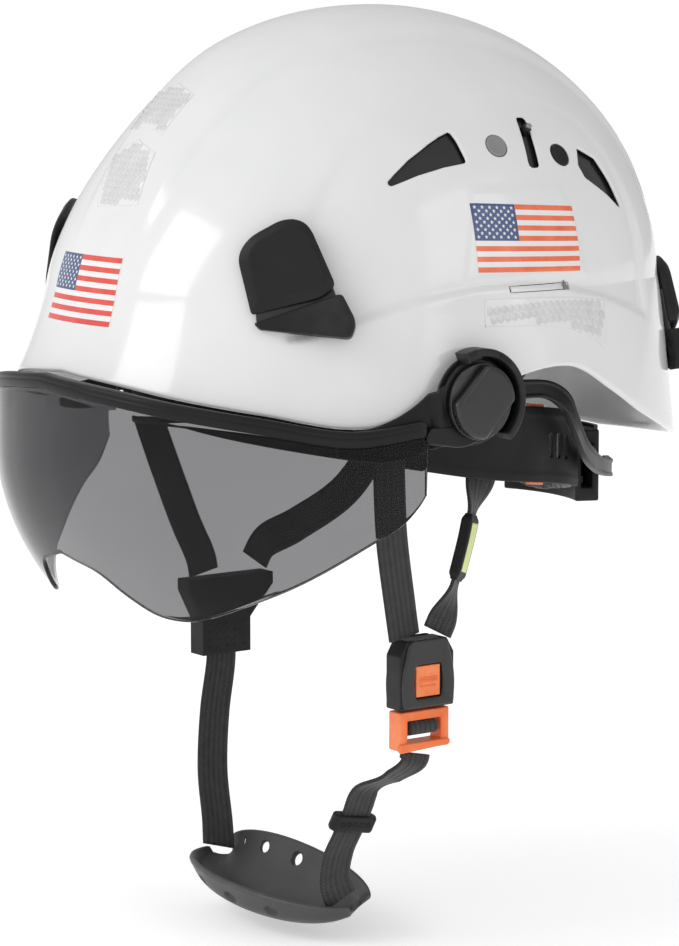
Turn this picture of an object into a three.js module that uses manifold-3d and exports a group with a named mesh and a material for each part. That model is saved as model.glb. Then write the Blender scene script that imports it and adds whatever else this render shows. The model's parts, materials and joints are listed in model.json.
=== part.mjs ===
// Vented climbing-style safety helmet with a flip-up eye visor, a ratchet headband and a chin harness.
// Millimetres, +Z up. The wearer faces -Y and the wearer's left is +X.
// The origin is the middle of the wearer's head, SHELL.crown below the top of the shell.
import * as THREE from "three";
import { mergeVertices } from "three/addons/utils/BufferGeometryUtils.js";
import Module from "manifold-3d";

const wasm = await Module();
wasm.setup();

// ---------------------------------------------------------------- driving dimensions
const GAP = 0.3; // clearance between parts that touch
const RUN = 0.4; // clearance round parts that move

const SHELL = {
  crown: 119.5, // height of the crown above the origin
  belt: 8, // height where the dome meets the skirt
  centreY: 8, // middle of the dome, front to back
  frontHalf: 138.5, // centre to forehead at the belt
  rearHalf: 119, // centre to nape at the belt
  sideHalf: 109, // centre to temple at the belt
  roundness: 2.25, // exponent of the plan outline
  foreheadSlope: 0.095, // how much the forehead leans back
  wall: 2.8,
  segments: 52,
  rings: 8,
  skirtRings: 3,
};
// Lower rim: degrees from the front, height.
const RIM = [
  [0, -22], [13, -25], [25, -29.6], [37, -34.4], [50, -40], [60, -38], [70, -33], [80, -26],
  [92, -21], [100, -22], [110, -32.5], [120, -43], [132, -52], [144, -58], [162, -62], [180, -64],
];
// Outward flare of the skirt: degrees, millimetres, how late the flare starts.
const FLARE = [
  [0, 6, 2], [36, 4.5, 2], [70, 4, 1.5], [90, 4, 1], [144, 8, 0.8], [180, 9, 0.8],
];

const VENT = { swing: 6.5, plateWall: 1.5, plateGap: 1.8, from: 54, to: 127, top: 0.56, bottom: 0.86 };
const SLOT = { y: 20, top: 0.575, bottom: 0.715, width: 5.6, knob: 4.2 };
const PLUG = { front: [86.8, 0.65], rear: [106.2, 0.68], radius: 4.7, slotRoom: 1.2 };
const KEYWAY = { deg: 92, z: 9.5, length: 31, height: 2.2 };

const CLIP = { deg: 39, z: 16, rearDeg: 152.5, rearZ: -9, width: 32, tab: 34, wedge: 15, rise: 7 };

const PIVOT = { y: -27, z: -32, standOff: 1.32, bolt: 3, boltHead: 6, boltRoom: 5.5 };
const PIVOT_KNOB = { radius: 15, flat: 10.4, flatTurn: 45, depth: 6, capStart: 2.2 };
const BRACKET = { radius: 20.8, wall: 3.3, depth: 8.8, base: 0.9, openFrom: 103, openTo: 310 };
const ARM = { wall: 2.6, hub: 16.5, lensRoom: 1.2 };

// The visor's curve stands off the shell; cheek and curl draw its lower part inwards.
const VISOR = {
  frontHalf: SHELL.frontHalf + 23.5,
  sideHalf: SHELL.sideHalf + 13,
  wall: 2.2,
  cheek: -58,
  curl: 0.0064,
  reach: 63,
};
// Lower edge of the lens: degrees from the front, height.
const LENS_EDGE = [
  [0, -95], [3, -97], [8, -101], [12, -109.5], [16, -116.5], [20, -118.5], [24, -117.5], [31, -112],
  [42, -101], [54, -85], [60, -76], [66, -58],
];
const BAND = { height: 7, wall: 5.2, sideWall: 2.6 };

const HEAD = { x: 80, y: 102, centreY: 5, wall: 1.8, height: 30, pad: 3.6, tails: 134 };
// Middle of the headband: degrees from the front, height.
const HEAD_LINE = [[0, -30], [60, -46], [90, -54], [125, -61], [150, -70], [180, -78]];
const SWEATBAND = { half: 72 };
const NAPE_PAD = { half: 40, wall: 4.4, lift: 5.6 };
const BAND_CLIP = { from: 109, to: 116, wall: 2, overhang: 1.6 };

// The rack's pitch circle lies behind the headband.
const RATCHET_RADIUS = 66;
const RATCHET = {
  radius: RATCHET_RADIUS,
  centreY: HEAD.centreY + HEAD.y + 3 - RATCHET_RADIUS,
  z: -78,
  teeth: 10,
  module: 1,
  face: 4,
};
const HOUSING = { inner: RATCHET.radius - 5, outer: RATCHET.radius + 5.5, half: 24, height: 31 };
const COVER = { wall: 2, half: 17, lip: 1 };
const RACK = { wall: 3, back: 3, from: -16, to: 40, teethEachSide: 5 };
const KNOB = { radius: 10.5, depth: 9, shaft: 2.6, grooves: 12, groove: 1.3 };

const WEB = { width: 15, wall: 1.7 };
const TONGUE = { width: WEB.width + 3.5, wall: 2.4, reach: 16, length: 17, gripWidth: WEB.width + 10 };
const BUCKLE = { x: 75, y: -22.5, top: -132, bottom: -160, width: TONGUE.width + 8.5, depth: 10, wall: 1.6 };
const BUTTON = { half: 6.4, low: BUCKLE.bottom + 4.5, high: BUCKLE.top - 10, flange: 1.5 };
const TONGUE_BOTTOM = BUCKLE.bottom - TONGUE.length;
const DIVIDER = {
  x: -73,
  y: -19,
  top: -127,
  neck: -146,
  bottom: -161,
  topWidth: 44,
  topShift: 2.5,
  width: WEB.width + 10,
  depth: 10,
};
const LOOP = { z: DIVIDER.bottom + 10, bar: 1.5 };
const CUP = {
  halfWidth: 52, reach: 38, centreY: -29, rim: -243, floor: -255.5, back: -233, wall: 3, tilt: 0.05,
};

// ---------------------------------------------------------------- solids
const V = (x, y, z) => new THREE.Vector3(x, y, z);
const rad = THREE.MathUtils.degToRad;

function bodyOf(geometry) {
  const bare = new THREE.BufferGeometry();
  bare.setAttribute("position", geometry.getAttribute("position"));
  if (geometry.index) bare.setIndex(geometry.index);
  const merged = mergeVertices(bare, 1e-4);
  const kept = [];
  const index = merged.index.array;
  for (let i = 0; i < index.length; i += 3) {
    const [a, b, c] = [index[i], index[i + 1], index[i + 2]];
    if (a !== b && b !== c && c !== a) kept.push(a, b, c);
  }
  return new wasm.Manifold(
    new wasm.Mesh({
      numProp: 3,
      vertProperties: new Float32Array(merged.attributes.position.array),
      triVerts: new Uint32Array(kept),
    }),
  );
}

function geometryOf(body) {
  const mesh = body.getMesh();
  const geometry = new THREE.BufferGeometry();
  const position = new Float32Array(mesh.numVert * 3);
  for (let i = 0; i < mesh.numVert; i++) {
    position.set(mesh.vertProperties.subarray(i * mesh.numProp, i * mesh.numProp + 3), i * 3);
  }
  geometry.setAttribute("position", new THREE.BufferAttribute(position, 3));
  geometry.setIndex(new THREE.BufferAttribute(new Uint32Array(mesh.triVerts), 1));
  geometry.computeVertexNormals();
  return geometry;
}

const cut = (base, ...tools) => tools.reduce((body, tool) => body.subtract(tool), base);
const join = (base, ...more) => more.reduce((body, piece) => body.add(piece), base);

const positions = (points) => new THREE.Float32BufferAttribute(points.flatMap((p) => p.toArray()), 3);

// A thick sheet between two grids of points, rows by columns; wrap closes the columns on themselves.
function sheet(outer, inner, wrap = false) {
  const rows = outer.length;
  const cols = outer[0].length;
  const points = [...outer.flat(), ...inner.flat()];
  const half = rows * cols;
  const index = [];
  const quad = (a, b, c, d) => index.push(a, b, c, a, c, d);
  const at = (r, c) => r * cols + (c % cols);
  const last = wrap ? cols : cols - 1;
  for (let r = 0; r < rows - 1; r++) {
    for (let c = 0; c < last; c++) {
      quad(at(r, c), at(r + 1, c), at(r + 1, c + 1), at(r, c + 1));
      quad(half + at(r, c), half + at(r, c + 1), half + at(r + 1, c + 1), half + at(r + 1, c));
    }
  }
  for (let c = 0; c < last; c++) {
    quad(at(0, c), at(0, c + 1), half + at(0, c + 1), half + at(0, c));
    quad(at(rows - 1, c), half + at(rows - 1, c), half + at(rows - 1, c + 1), at(rows - 1, c + 1));
  }
  for (let r = 0; !wrap && r < rows - 1; r++) {
    quad(at(r, 0), half + at(r, 0), half + at(r + 1, 0), at(r + 1, 0));
    quad(at(r, last), at(r + 1, last), half + at(r + 1, last), half + at(r, last));
  }
  const geometry = new THREE.BufferGeometry();
  geometry.setAttribute("position", positions(points));
  geometry.setIndex(index);
  const body = bodyOf(geometry);
  return body.volume() > 0 ? body : bodyOf(flipped(geometry));
}

function flipped(geometry) {
  const index = geometry.index.array;
  for (let i = 0; i < index.length; i += 3) [index[i + 1], index[i + 2]] = [index[i + 2], index[i + 1]];
  return geometry;
}

const grid = (rows, cols, point) => rows.map((r) => cols.map((c) => point(r, c)));
const steps = (from, to, count) =>
  Array.from({ length: count + 1 }, (_, i) => from + ((to - from) * i) / count);

function box(x0, x1, y0, y1, z0, z1) {
  const geometry = new THREE.BoxGeometry(x1 - x0, y1 - y0, z1 - z0);
  return bodyOf(geometry.translate((x0 + x1) / 2, (y0 + y1) / 2, (z0 + z1) / 2));
}

// A cylinder along X, Y or Z between two coordinates on that axis.
function rod(axis, radius, from, to, a, b, sides = 24) {
  const geometry = new THREE.CylinderGeometry(radius, radius, to - from, sides);
  const middle = (from + to) / 2;
  if (axis === "x") geometry.rotateZ(Math.PI / 2).translate(middle, a, b);
  if (axis === "y") geometry.translate(a, middle, b);
  if (axis === "z") geometry.rotateX(Math.PI / 2).translate(a, b, middle);
  return bodyOf(geometry);
}

// A flat outline of [y, z] points, extruded along X.
function plate(outline, x0, x1) {
  const shape = new THREE.Shape(outline.map(([y, z]) => new THREE.Vector2(y, z)));
  const geometry = new THREE.ExtrudeGeometry(shape, { depth: x1 - x0, bevelEnabled: false });
  const turn = new THREE.Matrix4().makeBasis(V(0, 1, 0), V(0, 0, 1), V(1, 0, 0));
  return bodyOf(geometry.applyMatrix4(turn.setPosition(x0, 0, 0)));
}

const moved = (geometry, matrix) => bodyOf(geometry.applyMatrix4(matrix));
const mirrorX = new THREE.Matrix4().makeScale(-1, 1, 1);

function mirrored(body) {
  const geometry = geometryOf(body).applyMatrix4(mirrorX);
  return bodyOf(flipped(geometry));
}

// Smooth value between [degrees, value] points.
function between(table, degrees, column = 1) {
  const d = Math.min(Math.max(degrees, table[0][0]), table[table.length - 1][0]);
  const i = Math.max(1, table.findIndex((row) => row[0] >= d));
  const [a, b] = [table[i - 1], table[i]];
  const before = table[Math.max(0, i - 2)];
  const after = table[Math.min(table.length - 1, i + 1)];
  const t = (d - a[0]) / (b[0] - a[0]);
  const slope = (p, q) => (q[0] === p[0] ? 0 : ((q[column] - p[column]) / (q[0] - p[0])) * (b[0] - a[0]));
  const [m0, m1] = [slope(before, b), slope(a, after)];
  const [t2, t3] = [t * t, t * t * t];
  return (
    (2 * t3 - 3 * t2 + 1) * a[column] +
    (t3 - 2 * t2 + t) * m0 +
    (3 * t2 - 2 * t3) * b[column] +
    (t3 - t2) * m1
  );
}

// ---------------------------------------------------------------- shell surface
// Degrees run from the front (0) to the wearer's left (90) and the nape (180); the right side is negative.
const fold = (deg) => Math.abs(((((deg + 180) % 360) + 360) % 360) - 180);

function planRadius(deg, front, rear, side) {
  const c = Math.cos(rad(deg));
  const s = Math.sin(rad(deg));
  const n = SHELL.roundness;
  return (Math.abs(c / (c > 0 ? front : rear)) ** n + Math.abs(s / side) ** n) ** (-1 / n);
}

const rimHeight = (deg) => between(RIM, fold(deg));

// v runs 0 at the crown, 1 at the belt and 2 at the rim.
function surface(deg, v) {
  const radius = planRadius(deg, SHELL.frontHalf, SHELL.rearHalf, SHELL.sideHalf);
  const rise = SHELL.crown - SHELL.belt;
  const lean = SHELL.foreheadSlope * Math.max(Math.cos(rad(deg)), 0) ** 1.5;
  const theta = (Math.min(v, 1) * Math.PI) / 2;
  let r = radius * Math.sin(theta) * (1 - lean * Math.sin(2 * theta));
  let z = SHELL.belt + rise * Math.cos(theta);
  if (v > 1) {
    const depth = SHELL.belt - rimHeight(deg);
    const s = v - 1;
    r += ((2 * lean * radius) / rise) * depth * s;
    r += between(FLARE, fold(deg)) * s ** between(FLARE, fold(deg), 2);
    z = SHELL.belt - depth * s;
  }
  return V(r * Math.sin(rad(deg)), SHELL.centreY - r * Math.cos(rad(deg)), z);
}

function normalAt(deg, v) {
  const step = 0.02;
  const low = Math.max(v - step, 0.001);
  const down = surface(deg, v + step).sub(surface(deg, low));
  const along = surface(deg + 1, Math.max(v, 0.02)).sub(surface(deg - 1, Math.max(v, 0.02)));
  return down.cross(along).normalize().negate();
}

function inset(deg, v, depth) {
  if (v <= 0.001) return V(0, SHELL.centreY, SHELL.crown - depth);
  return surface(deg, v).addScaledVector(outward(deg, v), -depth);
}

function outward(deg, v) {
  const normal = normalAt(deg, Math.min(v, 1.97));
  const away = surface(deg, v).sub(V(0, SHELL.centreY, SHELL.belt - 20));
  return normal.dot(away) < 0 ? normal.negate() : normal;
}

// The height coordinate v whose surface point has the wanted height z.
function levelOf(deg, z) {
  if (z <= SHELL.belt) return 1 + (SHELL.belt - z) / (SHELL.belt - rimHeight(deg));
  return (Math.acos((z - SHELL.belt) / (SHELL.crown - SHELL.belt)) * 2) / Math.PI;
}

// A frame on the surface: x to the wearer's left along the shell, y up, z outward.
function seat(deg, v, lift = 0) {
  const z = outward(deg, v);
  const x = V(0, 0, 1).cross(z).normalize();
  const y = z.clone().cross(x);
  const at = surface(deg, v).addScaledVector(z, lift);
  return new THREE.Matrix4().makeBasis(x, y, z).setPosition(at);
}

// A piece drawn as a flat outline on the tangent plane, from one lift to another.
function tangentPiece(outline, deg, v, from, to) {
  const shape = new THREE.Shape(outline.map(([x, y]) => new THREE.Vector2(x, y)));
  const geometry = new THREE.ExtrudeGeometry(shape, { depth: to - from, bevelEnabled: false });
  return moved(geometry, seat(deg, v, from));
}

const circle = (radius, sides = 20) =>
  Array.from({ length: sides }, (_, i) => [
    radius * Math.cos((i * 2 * Math.PI) / sides),
    radius * Math.sin((i * 2 * Math.PI) / sides),
  ]);

// ---------------------------------------------------------------- shell and its openings
const ventOutline = (side, points) => points.map(([deg, v]) => [deg * side, v]);

// Leaf-shaped openings as [degrees, v] outlines.
const FRONT_VENT = [
  [57, 0.745], [64.5, 0.718], [71, 0.7], [77.2, 0.69], [75, 0.61], [68, 0.64], [62.5, 0.68],
];
const REAR_VENT = [
  [114, 0.665], [119.5, 0.695], [121.7, 0.755], [123.2, 0.825], [118.5, 0.785], [112.2, 0.74], [111.5, 0.71],
];

// A cutter through the wall whose outline lies on the surface.
function wallCutter(points, below = 8, above = 8) {
  const turn = THREE.ShapeUtils.area(points.map(([deg, v]) => new THREE.Vector2(deg, v)));
  const outline = turn > 0 ? points : [...points].reverse();
  const ring = (depth) => outline.map(([deg, v]) => inset(deg, v, depth));
  const count = outline.length;
  const flat = outline.map(([deg, v]) => new THREE.Vector2(deg, v * 100));
  const faces = THREE.ShapeUtils.triangulateShape(flat, []);
  const index = [];
  for (const [a, b, c] of faces) {
    index.push(a, b, c);
    index.push(count + a, count + c, count + b);
  }
  for (let i = 0; i < count; i++) {
    const j = (i + 1) % count;
    index.push(j, i, count + i, j, count + i, count + j);
  }
  const geometry = new THREE.BufferGeometry();
  geometry.setAttribute("position", positions([...ring(-above), ...ring(below)]));
  geometry.setIndex(index);
  const body = bodyOf(geometry);
  return body.volume() > 0 ? body : bodyOf(flipped(geometry));
}

// Degrees of the surface point at v whose Y is the wanted one.
function degreesAt(y, v) {
  let deg = 90;
  for (let i = 0; i < 6; i++) {
    const p = surface(deg, v);
    const sine = (y - SHELL.centreY) / Math.hypot(p.x, p.y - SHELL.centreY);
    deg = 90 + THREE.MathUtils.radToDeg(Math.asin(sine));
  }
  return deg;
}

// The shell's outer X on the wearer's left at a given Y and Z.
function shellX(y, z) {
  let deg = 90;
  for (let i = 0; i < 8; i++) deg = degreesAt(y, levelOf(deg, z));
  return surface(deg, levelOf(deg, z)).x;
}

// The plane on which the visor's bracket, arm and knob are stacked.
const pivotX = shellX(PIVOT.y, PIVOT.z) + PIVOT.standOff;

function slotOutline(side) {
  const [front, rear] = [SLOT.y - SLOT.width / 2, SLOT.y + SLOT.width / 2];
  const corner = (y, v) => [side * degreesAt(y, v), v];
  const [top, bottom] = [SLOT.top, SLOT.bottom];
  return [corner(front, top), corner(rear, top), corner(rear, bottom), corner(front, bottom)];
}

function keywayBody(side, clearance, from, to) {
  const v = levelOf(KEYWAY.deg, KEYWAY.z);
  const [w, h] = [KEYWAY.length / 2 + clearance, KEYWAY.height / 2 + clearance];
  return tangentPiece([[-w, -h], [w, -h], [w, h], [-w, h]], side * KEYWAY.deg, v, from, to);
}

function shellBody() {
  const around = steps(0, 360, SHELL.segments).slice(0, -1);
  const down = [0, ...steps(0.09, 1, SHELL.rings), ...steps(1, 2, SHELL.skirtRings).slice(1)];
  const outer = grid(down, around, (v, deg) => inset(deg, v, 0));
  const inner = grid(down, around, (v, deg) => inset(deg, v, SHELL.wall));
  for (const row of inner.slice(-1)) row.forEach((p, i) => (p.z = outer[outer.length - 1][i].z));
  outer[0].forEach((p) => p.copy(V(0, SHELL.centreY, SHELL.crown)));
  inner[0].forEach((p) => p.copy(V(0, SHELL.centreY, SHELL.crown - SHELL.wall)));
  let body = domeSheet(outer, inner);
  for (const side of [1, -1]) {
    body = cut(
      body,
      wallCutter(ventOutline(side, FRONT_VENT)),
      wallCutter(ventOutline(side, REAR_VENT)),
      wallCutter(slotOutline(side)),
      keywayBody(side, GAP, -2 * SHELL.wall, 2 * SHELL.wall),
      side > 0 ? boltHole() : mirrored(boltHole()),
    );
    for (const [deg, v] of [PLUG.front, PLUG.rear]) {
      const hole = circle(PLUG.radius + GAP);
      body = cut(body, tangentPiece(hole, side * deg, v, -3 * SHELL.wall, 3 * SHELL.wall));
    }
  }
  return body;
}

const boltHole = () => rod("x", PIVOT.bolt + GAP, pivotX - 25, pivotX + 15, PIVOT.y, PIVOT.z);

// The dome: two bowls joined at the rim, each closed at the crown.
function domeSheet(outer, inner) {
  const cols = outer[0].length;
  const rows = outer.length;
  const points = [...outer.flat(), ...inner.flat()];
  const half = rows * cols;
  const index = [];
  for (let r = 0; r < rows - 1; r++) {
    for (let c = 0; c < cols; c++) {
      const [a, b] = [r * cols + c, r * cols + ((c + 1) % cols)];
      const [d, e] = [a + cols, b + cols];
      index.push(a, d, e, a, e, b);
      index.push(half + a, half + e, half + d, half + a, half + b, half + e);
    }
  }
  for (let c = 0; c < cols; c++) {
    const [a, b] = [(rows - 1) * cols + c, (rows - 1) * cols + ((c + 1) % cols)];
    index.push(a, half + a, half + b, a, half + b, b);
  }
  const geometry = new THREE.BufferGeometry();
  geometry.setAttribute("position", positions(points));
  geometry.setIndex(index);
  const body = bodyOf(geometry);
  return body.volume() > 0 ? body : bodyOf(flipped(geometry));
}

// ---------------------------------------------------------------- vent shutters, plugs, keyway fillers
const shutterDepth = SHELL.wall + VENT.plateGap;

function shutterBody() {
  const rows = steps(VENT.top, VENT.bottom, 5);
  const cols = steps(VENT.from, VENT.to, 15);
  const outer = grid(rows, cols, (v, deg) => inset(deg, v, shutterDepth));
  const inner = grid(rows, cols, (v, deg) => inset(deg, v, shutterDepth + VENT.plateWall));
  let body = sheet(outer, inner);
  for (const [deg, v] of [PLUG.front, PLUG.rear]) body = cut(body, guideSlot(deg, v));
  return join(body, knobBody());
}

// The slider stands in its slot, at the slot's top end at rest.
function knobBody() {
  const half = SLOT.knob / 2;
  const v = SLOT.top + 0.035;
  const outline = [[-half, -half], [half, -half], [half, half], [-half, half]];
  return tangentPiece(outline, degreesAt(SLOT.y, v), v, -shutterDepth - VENT.plateWall / 2, 1.2);
}

// The shutter is slotted where the guide plugs pass.
function guideSlot(deg, v) {
  const r = PLUG.radius + PLUG.slotRoom;
  const travel = rad(VENT.swing) * SHELL.sideHalf;
  const outline = [[-r, -r], [r, -r], [r, r + travel], [-r, r + travel]];
  return tangentPiece(outline, deg, v, -12, 2);
}

function guidePlugBody([deg, v]) {
  return tangentPiece(circle(PLUG.radius), deg, v, -shutterDepth, 0.1);
}

// ---------------------------------------------------------------- headlamp clips
function clipBody(deg, z) {
  const v = levelOf(deg, z);
  const w = CLIP.width / 2;
  const [top, low] = [CLIP.tab / 2 + CLIP.wedge / 2, -CLIP.tab / 2 - CLIP.wedge / 2];
  const split = low + CLIP.wedge;
  const tab = [
    [-w, split + 2], [w, split + 2], [w - 1, top - 9], [w - 6, top], [6 - w, top], [1 - w, top - 9],
  ];
  const lower = [[3 - w, low], [w - 3, low], [w, split - 1], [-w, split - 1]];
  const base = [[-w, low + 2], [w, low + 2], [w, split + 5], [-w, split + 5]];
  return join(
    tangentPiece(tab, deg, v, 2.6, CLIP.rise),
    tangentPiece(lower, deg, v, GAP, CLIP.rise - 1),
    tangentPiece(base, deg, v, GAP, 3.2),
  );
}

// ---------------------------------------------------------------- visor, its arms and pivots
const visorRadius = (deg) => planRadius(deg, VISOR.frontHalf, VISOR.frontHalf, VISOR.sideHalf);

function visorPoint(deg, z, depth) {
  const r = visorRadius(deg) - VISOR.curl * Math.max(0, VISOR.cheek - z) ** 2 - depth;
  return V(r * Math.sin(rad(deg)), SHELL.centreY - r * Math.cos(rad(deg)), z);
}

const bandTop = (deg) => rimHeight(Math.min(Math.abs(deg), 62)) - 1.6;
const lensTop = (deg) => bandTop(deg) - BAND.height + 2;

function lensBody() {
  const cols = steps(-VISOR.reach, VISOR.reach, 36);
  const edge = (deg) => between(LENS_EDGE, Math.abs(deg));
  const rows = steps(0, 1, 4);
  const at = (t, deg, depth) => {
    const top = lensTop(deg) - BAND.height / 2;
    return visorPoint(deg, top + (edge(deg) - top) * t, depth);
  };
  return sheet(
    grid(rows, cols, (t, deg) => at(t, deg, 0)),
    grid(rows, cols, (t, deg) => at(t, deg, VISOR.wall)),
  );
}

// The frame along the top of the lens, grooved to hold it.
function bandBody() {
  const cols = steps(-VISOR.reach, VISOR.reach, 36);
  const low = (deg) => lensTop(deg) - BAND.height / 2 + GAP;
  const rows = [0, 1];
  const at = (t, deg, depth) => visorPoint(deg, bandTop(deg) * (1 - t) + low(deg) * t, depth);
  const walls = [[0, BAND.wall], [14, BAND.wall], [34, BAND.sideWall], [90, BAND.sideWall]];
  const wall = (deg) => between(walls, Math.abs(deg));
  return sheet(grid(rows, cols, (t, d) => at(t, d, -0.6)), grid(rows, cols, (t, d) => at(t, d, wall(d))));
}

// Side arm, from the hub disc forward inside the lens: distance from the pivot in Y and Z, and half height.
const ARM_PATH = [
  [0, 0, 12], [-18, -6, 10.5], [-24.5, -11, 9.5], [-33, -14, 8], [-43, -15.5, 6], [-55, -15, 4],
];
const ARM_BEND = -19;

function armBody() {
  const x0 = pivotX + ARM.wall / 2;
  const behindLens = (y) => visorX(y) - VISOR.wall - ARM.wall - ARM.lensRoom;
  const row = (shift) =>
    ARM_PATH.map(([dy, dz, half]) => {
      const [y, z] = [PIVOT.y + dy, PIVOT.z + dz];
      const x = (dy > ARM_BEND ? x0 : Math.min(x0, behindLens(y))) + shift;
      return [V(x, y, z + half), V(x, y, z - half)];
    });
  const blade = sheet(row(ARM.wall), row(0));
  const hub = rod("x", ARM.hub, x0, x0 + ARM.wall, PIVOT.y, PIVOT.z, 32);
  return cut(join(blade, hub), rod("x", PIVOT.bolt + RUN, x0 - 5, x0 + 9, PIVOT.y, PIVOT.z));
}

// The visor's outer face, in X, at a given Y.
function visorX(y) {
  const n = SHELL.roundness;
  const t = Math.abs((SHELL.centreY - y) / VISOR.frontHalf) ** n;
  return VISOR.sideHalf * (1 - t) ** (1 / n);
}

// Bracket: a base disc on the shell and a C-shaped guard round the knob.
function mountBody() {
  const [x0, x1] = [pivotX + GAP - 0.1, pivotX + GAP - 0.1 + BRACKET.depth];
  const bore = BRACKET.radius - BRACKET.wall;
  const ring = cut(
    rod("x", BRACKET.radius, x0, x1, PIVOT.y, PIVOT.z, 40),
    rod("x", bore, x0 - 1, x1 + 1, PIVOT.y, PIVOT.z, 40),
  );
  const far = 3 * BRACKET.radius;
  const angles = steps(BRACKET.openFrom, BRACKET.openTo, 8).map(rad);
  const corners = angles.map((a) => [far * Math.cos(a), far * Math.sin(a)]);
  const sweep = [[0, 0], ...corners].map(([y, z]) => [y + PIVOT.y, z + PIVOT.z]);
  const guard = cut(ring, plate(sweep, x0 - 2, x1 + 2));
  const base = rod("x", bore + 0.2, x0, x0 + BRACKET.base, PIVOT.y, PIVOT.z, 40);
  return cut(join(guard, base), rod("x", PIVOT.bolt + GAP, x0 - 5, x1 + 5, PIVOT.y, PIVOT.z));
}

const knobX = pivotX + ARM.wall * 1.5 + RUN;

function pivotKnobBody() {
  const disc = rod("x", PIVOT_KNOB.radius, knobX, knobX + PIVOT_KNOB.depth, PIVOT.y, PIVOT.z, 36);
  const [c, s] = [Math.cos(rad(PIVOT_KNOB.flatTurn)), Math.sin(rad(PIVOT_KNOB.flatTurn))];
  const [flat, far] = [PIVOT_KNOB.flat, 2 * PIVOT_KNOB.radius];
  const wing = (sign) => {
    const corner = (u, w) => [PIVOT.y + u * c - sign * w * s, PIVOT.z + u * s + sign * w * c];
    const outline = [corner(-far, flat), corner(far, flat), corner(far, far), corner(-far, far)];
    return plate(outline, knobX + PIVOT_KNOB.capStart, knobX + PIVOT_KNOB.depth + 2);
  };
  const socket = rod("x", PIVOT.bolt + RUN, knobX - 1, knobX + 4.5, PIVOT.y, PIVOT.z);
  return cut(disc, wing(1), wing(-1), socket);
}

// The bolt's head lies inside the shell and its shank runs out into the knob.
function boltBody() {
  const x0 = pivotX - PIVOT.standOff - SHELL.wall - PIVOT.boltRoom - 2.4;
  const shank = rod("x", PIVOT.bolt, x0, knobX + 3.6, PIVOT.y, PIVOT.z);
  return join(shank, rod("x", PIVOT.boltHead, x0, x0 + 2.4, PIVOT.y, PIVOT.z));
}

// ---------------------------------------------------------------- headband and ratchet
const headLine = (deg) => between(HEAD_LINE, fold(deg));

function headPoint(deg, offset, height) {
  const [c, s] = [Math.cos(rad(deg)), Math.sin(rad(deg))];
  const [a, b] = [HEAD.x, HEAD.y];
  const r = 1 / Math.hypot(c / b, s / a);
  const normal = V((r * s) / (a * a), (-r * c) / (b * b), 0).normalize();
  return V(r * s, HEAD.centreY - r * c, headLine(deg) + height).addScaledVector(normal, offset);
}

function ringSheet(from, to, count, inner, outer, low, high) {
  const rows = [low, high];
  const cols = steps(from, to, count);
  return sheet(
    grid(rows, cols, (h, d) => headPoint(d, outer, h)),
    grid(rows, cols, (h, d) => headPoint(d, inner, h)),
  );
}

const headbandBody = () =>
  ringSheet(-HEAD.tails, HEAD.tails, 48, 0, HEAD.wall, -HEAD.height / 2, HEAD.height / 2);
const sweatbandBody = () => {
  const [low, high] = [1 - HEAD.height / 2, HEAD.height / 2 + 2];
  return ringSheet(-SWEATBAND.half, SWEATBAND.half, 28, -HEAD.pad - RUN, -RUN, low, high);
};
const napePadBody = () => {
  const { half, wall, lift } = NAPE_PAD;
  const reach = HEAD.height / 2 - 1;
  return ringSheet(180 - half, 180 + half, 16, -lift - wall, -lift, -reach, reach);
};

function ratchetArc(r0, r1, from, to, z0, z1, count = 10) {
  const point = (r, deg, z) => V(r * Math.sin(rad(deg)), RATCHET.centreY + r * Math.cos(rad(deg)), z);
  const cols = steps(from, to, count);
  return sheet(
    grid([z0, z1], cols, (z, d) => point(r1, d, z)),
    grid([z0, z1], cols, (z, d) => point(r0, d, z)),
  );
}

const pitch = (RATCHET.teeth * RATCHET.module) / 2;
const pinionY = RATCHET.centreY + RATCHET.radius;

// Straight-sided rack tooth profile round the pitch line, teeth pointing down.
function rackBody(side) {
  const z = RATCHET.z;
  const sign = side > 0 ? 1 : -1;
  const toothStep = (Math.PI * RATCHET.module) / RATCHET.radius * (180 / Math.PI);
  const root = pitch + RATCHET.module;
  const [r0, r1] = [RATCHET.radius - RACK.wall / 2, RATCHET.radius + RACK.wall / 2];
  const spine = [z + sign * root, z + sign * (root + RACK.back)];
  let body = ratchetArc(r0, r1, sign * RACK.from, sign * RACK.to, Math.min(...spine), Math.max(...spine), 14);
  const point = (r, deg, h) =>
    V(r * Math.sin(rad(deg)), RATCHET.centreY + r * Math.cos(rad(deg)), z + sign * h);
  for (let k = -RACK.teethEachSide; k <= RACK.teethEachSide; k++) {
    const middle = sign * k * toothStep;
    const tooth = [root + 0.2, pitch - RATCHET.module * 0.75];
    const halfRoot = toothStep * 0.34;
    const halfTip = toothStep * 0.13;
    const row = (r, half, h) => [point(r, middle - half, h), point(r, middle + half, h)];
    const wedge = (r) => [row(r, halfRoot, tooth[0]), row(r, halfTip, tooth[1])];
    body = join(body, sheet(wedge(r1), wedge(r0)));
  }
  return body;
}

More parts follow.
